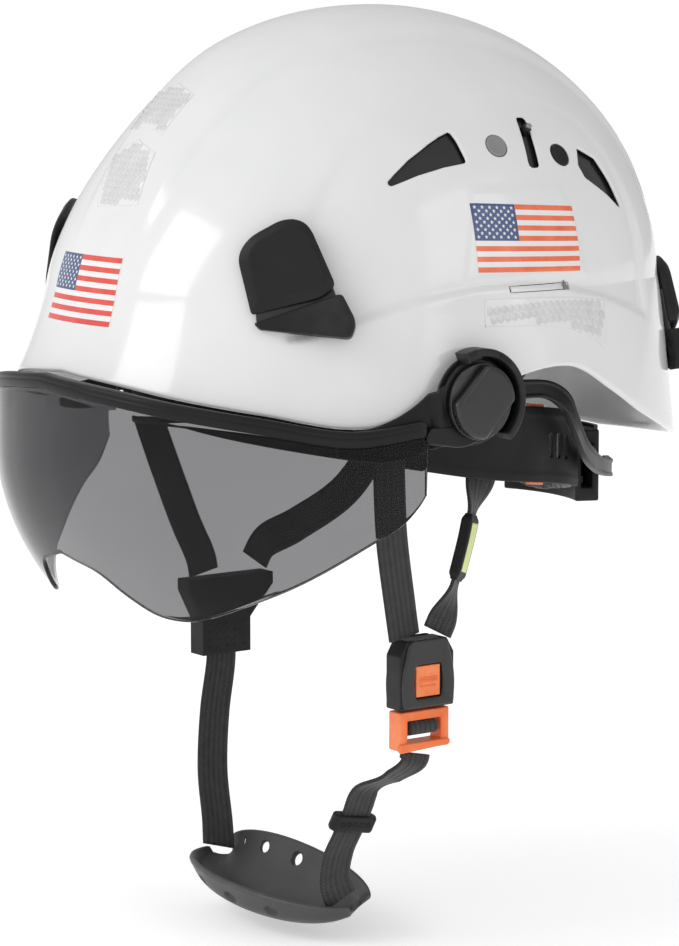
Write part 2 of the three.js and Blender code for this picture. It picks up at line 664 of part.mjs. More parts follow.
function pinionBody() {
  const shape = [];
  const [root, tip] = [pitch - RATCHET.module * 1.25, pitch + RATCHET.module * 0.8];
  for (let i = 0; i < RATCHET.teeth; i++) {
    const a = (i * 2 * Math.PI) / RATCHET.teeth;
    const w = Math.PI / RATCHET.teeth;
    shape.push([root, a - w * 0.62], [tip, a - w * 0.2], [tip, a + w * 0.2], [root, a + w * 0.62]);
  }
  const outline = new THREE.Shape(shape.map(([r, a]) => new THREE.Vector2(r * Math.cos(a), r * Math.sin(a))));
  const geometry = new THREE.ExtrudeGeometry(outline, { depth: RATCHET.face, bevelEnabled: false });
  const turn = new THREE.Matrix4().makeBasis(V(1, 0, 0), V(0, 0, -1), V(0, 1, 0));
  turn.setPosition(0, pinionY - RATCHET.face / 2, RATCHET.z);
  return cut(moved(geometry, turn), rod("y", KNOB.shaft, pinionY - 9, pinionY + 9, 0, RATCHET.z));
}

const channel = pitch + RATCHET.module + RACK.back + RUN;

function housingBody() {
  const h = HOUSING.height / 2;
  const z = RATCHET.z;
  const solid = ratchetArc(HOUSING.inner, HOUSING.outer, -HOUSING.half, HOUSING.half, z - h, z + h);
  const half = RACK.wall / 2 + 2 * RUN;
  const [r0, r1, open] = [RATCHET.radius - half, RATCHET.radius + half, HOUSING.half + 5];
  const hollow = ratchetArc(r0, r1, -open, open, z - channel, z + channel);
  const mouth = rod("y", KNOB.shaft + RUN, pinionY + 1, pinionY + 12, 0, z);
  return cut(solid, hollow, mouth);
}

function coverBody() {
  const h = HOUSING.height / 2;
  const r = HOUSING.outer + GAP;
  const [low, high] = [RATCHET.z - h - COVER.lip, RATCHET.z + h + COVER.lip];
  const curved = ratchetArc(r, r + COVER.wall, -COVER.half, COVER.half, low, high);
  const back = RATCHET.centreY + HOUSING.outer;
  return cut(curved, rod("y", KNOB.radius + 2 * RUN, back - 15, back + 20, 0, RATCHET.z, 32));
}

function ratchetKnobBody() {
  const y0 = RATCHET.centreY + HOUSING.outer + RUN;
  let body = rod("y", KNOB.radius, y0, y0 + KNOB.depth, 0, RATCHET.z, 36);
  for (let i = 0; i < KNOB.grooves; i++) {
    const a = (i * 2 * Math.PI) / KNOB.grooves;
    const [x, z] = [Math.cos(a) * (KNOB.radius + 0.5), RATCHET.z + Math.sin(a) * (KNOB.radius + 0.5)];
    body = cut(body, rod("y", KNOB.groove, y0 + 1.5, y0 + KNOB.depth + 1, x, z, 8));
  }
  return join(body, rod("y", KNOB.shaft - GAP, pinionY - RATCHET.face / 2, y0 + 1, 0, RATCHET.z));
}

// ---------------------------------------------------------------- straps
function strapBody(points, options = {}) {
  const { width = WEB.width, wall = WEB.wall, count = 14, across = V(0, 1, 0), from = 0, to = 1 } = options;
  const curve = new THREE.CatmullRomCurve3(points.map((p) => V(...p)), false, "centripetal");
  const rows = steps(from, to, count).map((t) => {
    const tangent = curve.getTangentAt(t);
    const side = across.clone().addScaledVector(tangent, -across.dot(tangent)).normalize();
    return { at: curve.getPointAt(t), side, normal: tangent.clone().cross(side).normalize() };
  });
  const corner = (row, s, n) =>
    row.at.clone().addScaledVector(row.side, (s * width) / 2).addScaledVector(row.normal, (n * wall) / 2);
  return sheet(
    rows.map((row) => [corner(row, -1, 1), corner(row, 1, 1)]),
    rows.map((row) => [corner(row, -1, -1), corner(row, 1, -1)]),
  );
}

const ANCHOR = { front: 56, side: 98, rear: 124, z: 0, width: 18, height: 22, depth: 7, room: 0.9 };

// The point where a strap leaves the lower end of an anchor, moved along the shell and inwards.
function strapTop(side, deg, shift, depth) {
  const z = ANCHOR.z - ANCHOR.height / 2 - 3;
  const at = deg + shift;
  const p = inset(at, levelOf(at, z), SHELL.wall + depth);
  return [side * p.x, p.y, z];
}

const tape = WEB.width / 2;
const FRONT_LEFT = [
  strapTop(1, ANCHOR.front, 1, 8.2), [87, -48, -50], [79, -40, -88], [75.5, -33, -118],
  [75, BUCKLE.y - tape - 0.5, BUCKLE.top + 1],
];
const REAR_LEFT = [
  strapTop(1, ANCHOR.side, -1, 12.4), [90, 20, -19], [82, 17.5, -28], [76.8, 15, -37], [75.4, 10, -62],
  [75.6, 3.5, -82], [75.6, 0, -95], [75.2, -8, -119], [75, BUCKLE.y + tape + 1.2, BUCKLE.top + 1.4],
];
const FRONT_RIGHT = [
  strapTop(-1, ANCHOR.front, 1, 8.2), [-88, -52, -42], [-80, -50, -60], [-75, -36, -102],
  [DIVIDER.x, DIVIDER.y - tape - 3, DIVIDER.top + 9], [DIVIDER.x, DIVIDER.y - tape - 1.5, DIVIDER.top + 2.2],
];
const REAR_RIGHT = [
  strapTop(-1, ANCHOR.rear, 3.5, 7.2), [-87, 79, -38], [-84, 79.5, -60], [-81.5, 68, -82], [-77, 50, -97],
  [-74.5, 22, -109], [DIVIDER.x, DIVIDER.y + tape + 15.5, DIVIDER.top + 12],
  [DIVIDER.x, DIVIDER.y + tape + 10.5, DIVIDER.top + 5],
];
const SLIDER = {
  from: [60.5, -38.5, -195],
  to: [49.5, -44.5, -223],
  width: WEB.width + 5,
  wall: 5.2,
  length: 7,
};
const alongSlider = (t) => SLIDER.from.map((a, i) => a + (SLIDER.to[i] - a) * t);
const LOWER_LEFT = [
  [74, -24, TONGUE_BOTTOM - 2.4], [73.4, -25, TONGUE_BOTTOM - 6.4], [68.5, -31, -189],
  alongSlider(0), alongSlider(0.33), alongSlider(0.67), alongSlider(1),
  [47.5, -45, -234], [45, -40, -243.6],
];
const LOWER_RIGHT = [
  [DIVIDER.x, DIVIDER.y, LOOP.z], [DIVIDER.x + 0.2, DIVIDER.y, DIVIDER.bottom - 3], [-69, -25, -186],
  [-62, -31, -210], [-51, -36, -230], [-45, -39.5, -239],
];

const TAB = { from: 0.62, to: 0.83, width: WEB.width + 3.5, wall: WEB.wall + 2.9, room: 0.35 };

function tabBody() {
  const { from, to, width, wall, room } = TAB;
  const sleeve = strapBody(REAR_LEFT, { width, wall, from, to, count: 8 });
  const past = 0.03;
  const [across, thick] = [WEB.width + 2 * room, WEB.wall + 2 * room];
  const bore = { width: across, wall: thick, from: from - past, to: to + past, count: 12 };
  return cut(sleeve, strapBody(REAR_LEFT, bore));
}

// ---------------------------------------------------------------- crown suspension
const CROWN = { width: 20, wall: 1.4, depth: 31, spacing: 2.6, room: 3.4 };

function anchorBody(deg) {
  const [w, h] = [ANCHOR.width / 2, ANCHOR.height / 2];
  const outline = [[-w, -h], [w, -h], [w, h - 4], [w - 4, h], [4 - w, h], [-w, h - 4]];
  const top = -SHELL.wall - ANCHOR.room;
  return tangentPiece(outline, deg, levelOf(deg, ANCHOR.z), top - ANCHOR.depth, top);
}

// A webbing strap from one anchor over the head to the opposite one.
function crownStrapBody(degA, degB, layer) {
  const lift = ANCHOR.depth + SHELL.wall + ANCHOR.room + CROWN.room + CROWN.wall / 2;
  const line = [[1.06, lift, 0], [0.8, lift + 3, 0.6], [0.5, 22, 1.5], [0.22, 29, CROWN.spacing]];
  const half = (deg) => line.map(([v, depth, step]) => inset(deg, v, depth + layer * step));
  const top = V(0, SHELL.centreY, SHELL.crown - CROWN.depth - layer * CROWN.spacing);
  const points = [...half(degA), top, ...half(degB).reverse()].map((p) => p.toArray());
  const across = V(Math.cos(rad(degA)), Math.sin(rad(degA)), 0);
  return strapBody(points, { width: CROWN.width, wall: CROWN.wall, count: 24, across });
}

// Moulded arm that carries the ratchet, from inside the shell by the pivot to the back of the housing.
const NAPE_ARM = { height: 8, wall: 3, boltRoom: 8.3 };

function napeArmBody() {
  const front = pivotX - PIVOT.standOff - SHELL.wall - PIVOT.boltRoom - NAPE_ARM.boltRoom;
  const behind = HOUSING.outer + GAP + COVER.wall + NAPE_ARM.wall / 2 + GAP;
  const back = (deg, r) => [r * Math.sin(rad(deg)), RATCHET.centreY + r * Math.cos(rad(deg))];
  const path = [
    [front, PIVOT.y + 12, PIVOT.z], [front - 0.5, PIVOT.y + 37, PIVOT.z - 0.5], [90, 30, -34],
    [87, 42, -41.5], [83, 53, -54], [77, 67, -65.5], [...back(58.8, behind + 1.6), RATCHET.z + 5.5],
    [...back(38.2, behind - 1), RATCHET.z + 1.2], [...back(21, behind), RATCHET.z],
  ];
  return strapBody(path, { width: NAPE_ARM.height, wall: NAPE_ARM.wall, count: 22, across: V(0, 0, 1) });
}

// Clip that holds the nape pad to the band, showing above and below it.
function bandClipBody() {
  const h = HEAD.height / 2 + BAND_CLIP.overhang;
  return ringSheet(BAND_CLIP.from, BAND_CLIP.to, 2, -RUN - BAND_CLIP.wall, -RUN, -h, h);
}

function sliderBody() {
  const middle = alongSlider(0.5);
  const run = V(...SLIDER.to).sub(V(...SLIDER.from)).normalize();
  const end = (k) => V(...middle).addScaledVector(run, k).toArray();
  const l = SLIDER.length / 2;
  const block = strapBody([end(-l), end(l)], { width: SLIDER.width, wall: SLIDER.wall, count: 1 });
  const bore = { width: WEB.width + 2 * RUN, wall: WEB.wall + 2 * RUN, count: 1 };
  return cut(block, strapBody([end(-l - 2), end(l + 2)], bore));
}

// ---------------------------------------------------------------- buckle, divider, chin cup
function buckleBody() {
  const { x, y, top, bottom, width, depth, wall } = BUCKLE;
  const half = width / 2;
  const outline = [
    [y - half, bottom], [y + half, bottom], [y + half, top - 6],
    [y + half - 3.5, top], [y - half + 3.5, top], [y - half, top - 6],
  ];
  const casing = plate(outline, x - depth / 2, x + depth / 2);
  const [back, front] = [x - depth / 2 + wall, x + depth / 2 - wall - 0.6];
  const room = TONGUE.width / 2 + 1.2;
  const pocket = box(back, front, y - room, y + room, bottom - 1, bottom + TONGUE.reach + 5);
  const window = box(x, x + depth, y - BUTTON.half, y + BUTTON.half, BUTTON.low, BUTTON.high);
  return cut(casing, pocket, window);
}

function buttonBody() {
  const { x, y, depth } = BUCKLE;
  const { half, low, high, flange } = BUTTON;
  const cap = box(x + 2, x + depth / 2 + 0.5, y - half + RUN, y + half - RUN, low + RUN, high - RUN);
  const lip = box(x + 1.4, x + 2.3, y - half - flange, y + half + flange, low - 1, high + 1);
  return join(cap, lip);
}

function tongueBody() {
  const { x, y, bottom } = BUCKLE;
  const w = TONGUE.width / 2;
  const middle = x - 1.8;
  const outline = [
    [y - w, bottom - 2], [y + w, bottom - 2], [y + w, bottom + 10],
    [y + w - 4, bottom + TONGUE.reach], [y - w + 4, bottom + TONGUE.reach], [y - w, bottom + 10],
  ];
  const blade = plate(outline, middle - TONGUE.wall / 2, middle + TONGUE.wall / 2);
  const half = TONGUE.gripWidth / 2;
  const grip = box(x - 4.4, x + 3.2, y - half, y + half, TONGUE_BOTTOM, bottom - 1);
  const open = tape + 0.8;
  const slot = box(x - 10, x + 10, y - open, y + open, TONGUE_BOTTOM + 3.2, bottom - 5);
  return cut(join(blade, grip), slot);
}

function dividerBody() {
  const { x, y, top, neck, bottom, topWidth, topShift, width, depth } = DIVIDER;
  const [a, b] = [topWidth / 2, width / 2];
  const [front, rear] = [y - a + topShift, y + a + topShift];
  const outline = [
    [y - b, bottom], [y + b, bottom], [y + b, neck], [rear, top - 5],
    [rear, top], [front, top], [front, top - 5], [y - b, neck],
  ];
  const body = plate(outline, x - depth / 2, x + depth / 2);
  const half = tape + 0.8;
  const pocket = box(x - depth, x + depth / 2 - 2, y - half, y + half, bottom - 1, LOOP.z + 4);
  const seat = rod("y", LOOP.bar + GAP, y - b + 0.6, y + b - 0.6, x, LOOP.z, 16);
  return cut(body, pocket, seat);
}

function loopBar() {
  const half = DIVIDER.width / 2 - 1;
  return rod("y", LOOP.bar, DIVIDER.y - half, DIVIDER.y + half, DIVIDER.x, LOOP.z, 16);
}

// The strap's sewn end loop turns on the divider's bar.
function lowerRightBody() {
  const strap = strapBody(LOWER_RIGHT, { count: 16 });
  const y0 = DIVIDER.y - tape;
  const eye = rod("y", LOOP.bar + RUN + 1, y0, y0 + WEB.width, DIVIDER.x, LOOP.z, 16);
  const bore = rod("y", LOOP.bar + RUN, y0 - 9, y0 + WEB.width + 9, DIVIDER.x, LOOP.z, 16);
  return cut(join(strap, eye), bore);
}

function cupPoint(t, u, lift) {
  const [s, c] = [Math.sin(rad(t)), Math.cos(rad(t))];
  const section = [
    [0.98, 4, CUP.back], [0.9, -3, CUP.back - 12], [0.88, -18, CUP.floor],
    [0.96, -32, CUP.floor + 3], [1, -CUP.reach, CUP.rim],
  ];
  const curve = new THREE.CatmullRomCurve3(section.map(([k, y, z]) => V(k * CUP.halfWidth, y, z)));
  const p = curve.getPoint(u);
  const n = curve.getTangent(u);
  const x = (p.x - Math.abs(n.z) * lift * 0.6) * s;
  const y = (p.y + 2) * (0.14 + 0.86 * c ** 0.8) - 2 + n.z * lift * c;
  const middle = (CUP.floor + CUP.rim) / 2 + 4;
  const z = middle + (p.z - middle) * (0.25 + 0.75 * c) - n.y * lift;
  return V(x, CUP.centreY + y, z - x * CUP.tilt);
}

function cupBody() {
  const rows = steps(-84, 84, 18);
  const cols = steps(0, 1, 6);
  return sheet(
    grid(rows, cols, (t, u) => cupPoint(t, u, 0)),
    grid(rows, cols, (t, u) => cupPoint(t, u, CUP.wall)),
  );
}

// ---------------------------------------------------------------- the assembly
function look(color, roughness, metalness = 0) {
  return new THREE.MeshStandardMaterial({ color, roughness, metalness });
}
const MATERIAL = {
  white: look(0xeeeeec, 0.25),
  black: look(0x232427, 0.5),
  grey: look(0x55585c, 0.4),
  smoke: look(0x35373b, 0.05),
  web: look(0x1d1e20, 0.9),
  foam: look(0x2a2b2d, 0.95),
  orange: look(0xd2561e, 0.5),
  reflective: look(0x1f2022, 0.6),
  steel: look(0xb8bcc0, 0.3, 1),
};

const helmet = new THREE.Group();
function add(name, body, material) {
  const mesh = new THREE.Mesh(geometryOf(body), material);
  mesh.name = name;
  helmet.add(mesh);
}
function addPair(name, body, material) {
  add(name + "_left", body, material);
  add(name + "_right", mirrored(body), material);
}

add("shell", shellBody(), MATERIAL.white);
addPair("vent_shutter", shutterBody(), MATERIAL.black);
addPair("guide_plug_front", guidePlugBody(PLUG.front), MATERIAL.grey);
addPair("guide_plug_rear", guidePlugBody(PLUG.rear), MATERIAL.black);
addPair("keyway_filler", keywayBody(1, 0, -SHELL.wall, 0.4), MATERIAL.white);
addPair("headlamp_clip_front", clipBody(CLIP.deg, CLIP.z), MATERIAL.black);
addPair("headlamp_clip_rear", clipBody(CLIP.rearDeg, CLIP.rearZ), MATERIAL.black);

add("visor_lens", lensBody(), MATERIAL.smoke);
add("visor_frame", bandBody(), MATERIAL.black);
addPair("visor_arm", armBody(), MATERIAL.black);
addPair("visor_bracket", mountBody(), MATERIAL.black);
addPair("visor_knob", pivotKnobBody(), MATERIAL.black);
addPair("visor_bolt", boltBody(), MATERIAL.steel);

add("headband", headbandBody(), MATERIAL.black);
add("sweatband", sweatbandBody(), MATERIAL.foam);
add("nape_pad", napePadBody(), MATERIAL.foam);
add("ratchet_housing", housingBody(), MATERIAL.black);
add("ratchet_cover", coverBody(), MATERIAL.black);
add("ratchet_knob", ratchetKnobBody(), MATERIAL.black);
add("pinion", pinionBody(), MATERIAL.grey);
add("rack_left", rackBody(1), MATERIAL.grey);
add("rack_right", rackBody(-1), MATERIAL.grey);

addPair("nape_arm", napeArmBody(), MATERIAL.black);
addPair("band_clip", bandClipBody(), MATERIAL.orange);
for (const [place, deg] of [["front", ANCHOR.front], ["side", ANCHOR.side], ["rear", ANCHOR.rear]]) {
  addPair("anchor_" + place, anchorBody(deg), MATERIAL.black);
}
add("crown_strap_a", crownStrapBody(ANCHOR.front, ANCHOR.front - 180, 0), MATERIAL.web);
add("crown_strap_b", crownStrapBody(-ANCHOR.front, 180 - ANCHOR.front, 1), MATERIAL.web);
add("crown_strap_c", crownStrapBody(ANCHOR.side, -ANCHOR.side, 2), MATERIAL.web);

add("front_strap_left", strapBody(FRONT_LEFT), MATERIAL.web);
add("rear_strap_left", strapBody(REAR_LEFT, { count: 22 }), MATERIAL.web);
add("front_strap_right", strapBody(FRONT_RIGHT), MATERIAL.web);
add("rear_strap_right", strapBody(REAR_RIGHT, { count: 18 }), MATERIAL.web);
add("reflective_tab", tabBody(), MATERIAL.reflective);
add("buckle_housing", buckleBody(), MATERIAL.black);
add("buckle_button", buttonBody(), MATERIAL.orange);
add("buckle_tongue", tongueBody(), MATERIAL.orange);
add("strap_divider", dividerBody(), MATERIAL.black);
add("divider_bar", loopBar(), MATERIAL.steel);
add("lower_strap_left", strapBody(LOWER_LEFT), MATERIAL.web);
add("lower_strap_right", lowerRightBody(), MATERIAL.web);
add("strap_slider", sliderBody(), MATERIAL.black);
add("chin_cup", cupBody(), MATERIAL.black);

export default helmet;
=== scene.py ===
import json
import math

import bpy
import numpy as np
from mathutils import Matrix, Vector

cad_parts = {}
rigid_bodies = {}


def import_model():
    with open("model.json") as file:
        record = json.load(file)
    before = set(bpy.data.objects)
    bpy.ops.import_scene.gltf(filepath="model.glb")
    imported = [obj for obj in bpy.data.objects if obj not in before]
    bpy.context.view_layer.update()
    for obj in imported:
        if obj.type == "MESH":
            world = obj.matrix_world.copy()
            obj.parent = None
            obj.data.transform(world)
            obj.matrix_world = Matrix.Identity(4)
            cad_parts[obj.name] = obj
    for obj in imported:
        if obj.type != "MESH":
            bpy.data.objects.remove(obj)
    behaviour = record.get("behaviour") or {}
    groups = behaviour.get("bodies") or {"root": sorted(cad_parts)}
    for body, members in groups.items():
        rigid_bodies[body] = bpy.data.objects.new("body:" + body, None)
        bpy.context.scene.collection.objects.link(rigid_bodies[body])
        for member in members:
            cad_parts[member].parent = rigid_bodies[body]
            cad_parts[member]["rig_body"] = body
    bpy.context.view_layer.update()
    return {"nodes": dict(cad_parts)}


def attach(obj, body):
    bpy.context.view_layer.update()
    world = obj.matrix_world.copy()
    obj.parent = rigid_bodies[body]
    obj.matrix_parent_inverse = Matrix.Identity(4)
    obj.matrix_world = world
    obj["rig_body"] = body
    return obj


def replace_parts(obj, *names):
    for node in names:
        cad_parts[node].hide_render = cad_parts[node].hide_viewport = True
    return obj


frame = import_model()

# All lengths below are millimetres in the CAD frame; meshes are written in metres.
MM = 0.001

# ------------------------------------------------------------------ the shell's own surface
CROWN, BELT, CENTRE_Y = 119.5, 8.0, 8.0
FRONT_HALF, REAR_HALF, SIDE_HALF = 138.5, 119.0, 109.0
ROUNDNESS, FOREHEAD_SLOPE, WALL = 2.25, 0.095, 2.8
RIM = [
    (0, -22), (13, -25), (25, -29.6), (37, -34.4), (50, -40), (60, -38), (70, -33), (80, -26),
    (92, -21), (100, -22), (110, -32.5), (120, -43), (132, -52), (144, -58), (162, -62), (180, -64),
]
FLARE = [(0, 6, 2), (36, 4.5, 2), (70, 4, 1.5), (90, 4, 1), (144, 8, 0.8), (180, 9, 0.8)]


def between(table, x, column=1):
    """Smooth values between the rows of a table, as the CAD source draws them."""
    xs = np.array([row[0] for row in table], float)
    ys = np.array([row[column] for row in table], float)
    x = np.clip(np.asarray(x, float), xs[0], xs[-1])
    i = np.clip(np.searchsorted(xs, x, side="left"), 1, len(xs) - 1)
    low, high = np.maximum(i - 2, 0), np.minimum(i + 1, len(xs) - 1)
    span = xs[i] - xs[i - 1]
    m0 = (ys[i] - ys[low]) / (xs[i] - xs[low]) * span
    m1 = (ys[high] - ys[i - 1]) / (xs[high] - xs[i - 1]) * span
    t = (x - xs[i - 1]) / span
    t2, t3 = t * t, t * t * t
    return (
        2 * t3 - 3 * t2 + 1
    ) * ys[i - 1] + (t3 - 2 * t2 + t) * m0 + (3 * t2 - 2 * t3) * ys[i] + (t3 - t2) * m1


def fold(deg):
    """Degrees from the front, the same on both sides."""
    return np.abs((np.asarray(deg, float) + 180) % 360 - 180)


def plan_radius(deg, front, rear, side):
    c, s = np.cos(np.radians(deg)), np.sin(np.radians(deg))
    return (
        np.abs(c / np.where(c > 0, front, rear)) ** ROUNDNESS + np.abs(s / side) ** ROUNDNESS
    ) ** (-1 / ROUNDNESS)


def rim_height(deg):
    return between(RIM, fold(deg))


def stack(x, y, z):
    return np.stack(np.broadcast_arrays(x, y, z), axis=-1)


def surface(deg, v):
    """The nominal outer surface: v is 0 at the crown, 1 at the belt and 2 at the rim."""
    deg, v = np.broadcast_arrays(np.asarray(deg, float), np.asarray(v, float))
    radius = plan_radius(deg, FRONT_HALF, REAR_HALF, SIDE_HALF)
    rise = CROWN - BELT
    lean = FOREHEAD_SLOPE * np.maximum(np.cos(np.radians(deg)), 0) ** 1.5
    theta = np.minimum(v, 1) * np.pi / 2
    over = np.maximum(v - 1, 0)
    depth = BELT - rim_height(deg)
    r = radius * np.sin(theta) * (1 - lean * np.sin(2 * theta)) + 2 * lean * radius / rise * depth * over
    r = r + between(FLARE, fold(deg)) * over ** between(FLARE, fold(deg), 2)
    z = np.where(v > 1, BELT - depth * over, BELT + rise * np.cos(theta))
    return stack(r * np.sin(np.radians(deg)), CENTRE_Y - r * np.cos(np.radians(deg)), z)


def unit(vectors):
    return vectors / np.maximum(np.linalg.norm(vectors, axis=-1, keepdims=True), 1e-12)


def outward(deg, v):
    v = np.minimum(np.asarray(v, float), 1.97)
    down = surface(deg, v + 0.02) - surface(deg, np.maximum(v - 0.02, 0.001))
    ring = np.maximum(v, 0.02)
    normal = unit(
        -np.cross(down, surface(np.asarray(deg) + 1, ring) - surface(np.asarray(deg) - 1, ring))
    )
    away = surface(deg, v) - np.array([0, CENTRE_Y, BELT - 20])
    return np.where((normal * away).sum(-1, keepdims=True) < 0, -normal, normal)


def level_of(deg, z):
    """The v whose surface point has height z."""
    z = np.asarray(z, float)
    below = 1 + (BELT - z) / (BELT - rim_height(deg))
    above = np.arccos(np.clip((z - BELT) / (CROWN - BELT), -1, 1)) * 2 / np.pi
    return np.where(z <= BELT, below, above)


def smooth(x):
    x = np.clip(x, 0, 1)
    return x * x * (3 - 2 * x)


def polygon_distance(x, y, corners):
    """Signed distance to a closed outline, negative inside."""
    best = np.full(np.shape(x), 1e9)
    inside = np.zeros(np.shape(x), bool)
    for (ax, ay), (bx, by) in zip(corners, corners[1:] + corners[:1]):
        ex, ey = bx - ax, by - ay
        t = np.clip(((x - ax) * ex + (y - ay) * ey) / (ex * ex + ey * ey), 0, 1)
        best = np.minimum(best, np.hypot(x - ax - t * ex, y - ay - t * ey))
        if ey:
            inside ^= ((ay > y) != (by > y)) & (x < ax + (y - ay) * ex / ey)
    return np.where(inside, -best, best)


# ------------------------------------------------------------------ relief of the shell
# Roughly how many millimetres one degree and one unit of v are on the side of the shell.
PER_DEG, PER_V = 1.9, 172.0
SPINE_HALF = [(-150, 16), (-60, 28), (-20, 36), (20, 43), (60, 50), (130, 64)]  # y, half width
SPINE_STEP, SPINE_RAMP = 2.2, 6.5
ARCH = [
    (37, 1.9), (40, 0.86), (41.5, 0.78), (47, 0.65), (56.5, 0.56), (64, 0.525), (73, 0.507), (83, 0.50),
    (92, 0.50),
    (103, 0.508), (112, 0.525), (121.5, 0.58), (126, 0.69), (127.5, 0.80), (128, 0.93), (126, 1.9),
]
ARCH_STEP, ARCH_RAMP = 2.6, 4.6
BAND_EDGE = [
    (36, -12), (51, -1.6), (64, 5.3), (76, 8.8), (86, 9.4), (96, 8.2), (108, 3.9), (118, -2), (132, -11)
]  # deg, z
BAND_RAMP = 3.2
FLAG_PAD = [(76, 0.745), (103, 0.745), (107, 0.985), (72, 0.985)]


def side_scaled(points):
    return [(deg * PER_DEG, v * PER_V) for deg, v in points]


def relief(deg, v):
    """How far the outer surface lies above or below the nominal one, in millimetres."""
    f = fold(deg)
    at = surface(f, v)
    x, y, z = at[..., 0], at[..., 1], at[..., 2]
    half = np.interp(y, *zip(*SPINE_HALF))
    spine = SPINE_STEP * smooth((np.abs(x) - half) / SPINE_RAMP) * (
        1 - smooth((np.asarray(v) - 0.62) / 0.36)
    )
    arch = polygon_distance(f * PER_DEG, v * PER_V, side_scaled(ARCH))
    above_band = smooth((z - np.interp(f, *zip(*BAND_EDGE))) / BAND_RAMP)
    panel = smooth(-arch / ARCH_RAMP) * above_band
    pad = smooth(-polygon_distance(f * PER_DEG, v * PER_V, side_scaled(FLAG_PAD)) / 4)
    return -spine * (1 - panel) - (ARCH_STEP - 0.55 * pad) * panel


def on_shell(deg, v, lift=0.0):
    """A point over the finished outer surface."""
    lift = np.asarray(lift, float)
    return surface(deg, v) + outward(deg, v) * (relief(deg, v) + lift)[..., None]


def inside_shell(deg, v):
    """The inner face, which follows the relief only in part so that the wall stays above 0.4 mm."""
    deg, v = np.broadcast_arrays(np.asarray(deg, float), np.asarray(v, float))
    return surface(deg, v) + outward(deg, v) * (0.1 * relief(deg, v) - WALL)[..., None]


# ------------------------------------------------------------------ meshes
def piece(name, points, faces, material, body, slots=None, sharp=False, strap=None):
    """One object from points in millimetres. slots gives each face its material's place in the list."""
    mesh = bpy.data.meshes.new(name)
    mesh.from_pydata([tuple(p) for p in np.asarray(points, float).reshape(-1, 3) * MM], [], faces)
    materials = material if isinstance(material, list) else [material]
    for one in materials:
        mesh.materials.append(one)
    if slots is not None:
        mesh.polygons.foreach_set("material_index", slots)
    mesh.polygons.foreach_set("use_smooth", [not sharp] * len(mesh.polygons))
    if strap is not None:
        layer = mesh.attributes.new("strap", "FLOAT_VECTOR", "POINT")
        layer.data.foreach_set("vector", np.asarray(strap, float).reshape(-1))
    mesh.update()
    made = bpy.data.objects.new(name, mesh)
    bpy.context.scene.collection.objects.link(made)
    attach(made, body)
    return made


def fix_normals(obj):
    """Turns every face outward."""
    import bmesh

    bm = bmesh.new()
    bm.from_mesh(obj.data)
    bmesh.ops.remove_doubles(bm, verts=bm.verts, dist=1e-6)
    bmesh.ops.recalc_face_normals(bm, faces=bm.faces)
    bm.to_mesh(obj.data)
    bm.free()
    obj.data.update()
    return obj


class Hole:
    """A rounded opening drawn on a surface's own (u, v) grid; its distances are in millimetres."""

    def __init__(self, outline, rounding, scale, edge=0.9, fold_u=True):
        self.scale = scale
        self.corners = [(u * scale[0], v * scale[1]) for u, v in outline]
        self.rounding, self.edge, self.fold_u = rounding, edge, fold_u

    def distance(self, u, v):
        u = fold(u) if self.fold_u else np.asarray(u, float)
        if len(self.corners) == 1:
            x, y = self.corners[0]
            return np.hypot(u * self.scale[0] - x, np.asarray(v) * self.scale[1] - y) - self.rounding
        return polygon_distance(
            u * self.scale[0], np.asarray(v) * self.scale[1], self.corners
        ) - self.rounding

    def move(self, u, v, target):
        """Moves points straight towards or away from the outline until they are at the target distance."""
        for _ in range(3):
            d = self.distance(u, v)
            step_u, step_v = 0.05 / self.scale[0], 0.05 / self.scale[1]
            gu = (self.distance(u + step_u, v) - self.distance(u - step_u, v)) / 0.1
            gv = (self.distance(u, v + step_v) - self.distance(u, v - step_v)) / 0.1
            size = np.maximum(np.hypot(gu, gv), 0.3)
            u = u - (d - target) * gu / size**2 / self.scale[0]
            v = v - (d - target) * gv / size**2 / self.scale[1]
        return u, v


FILLET_STEPS = 4


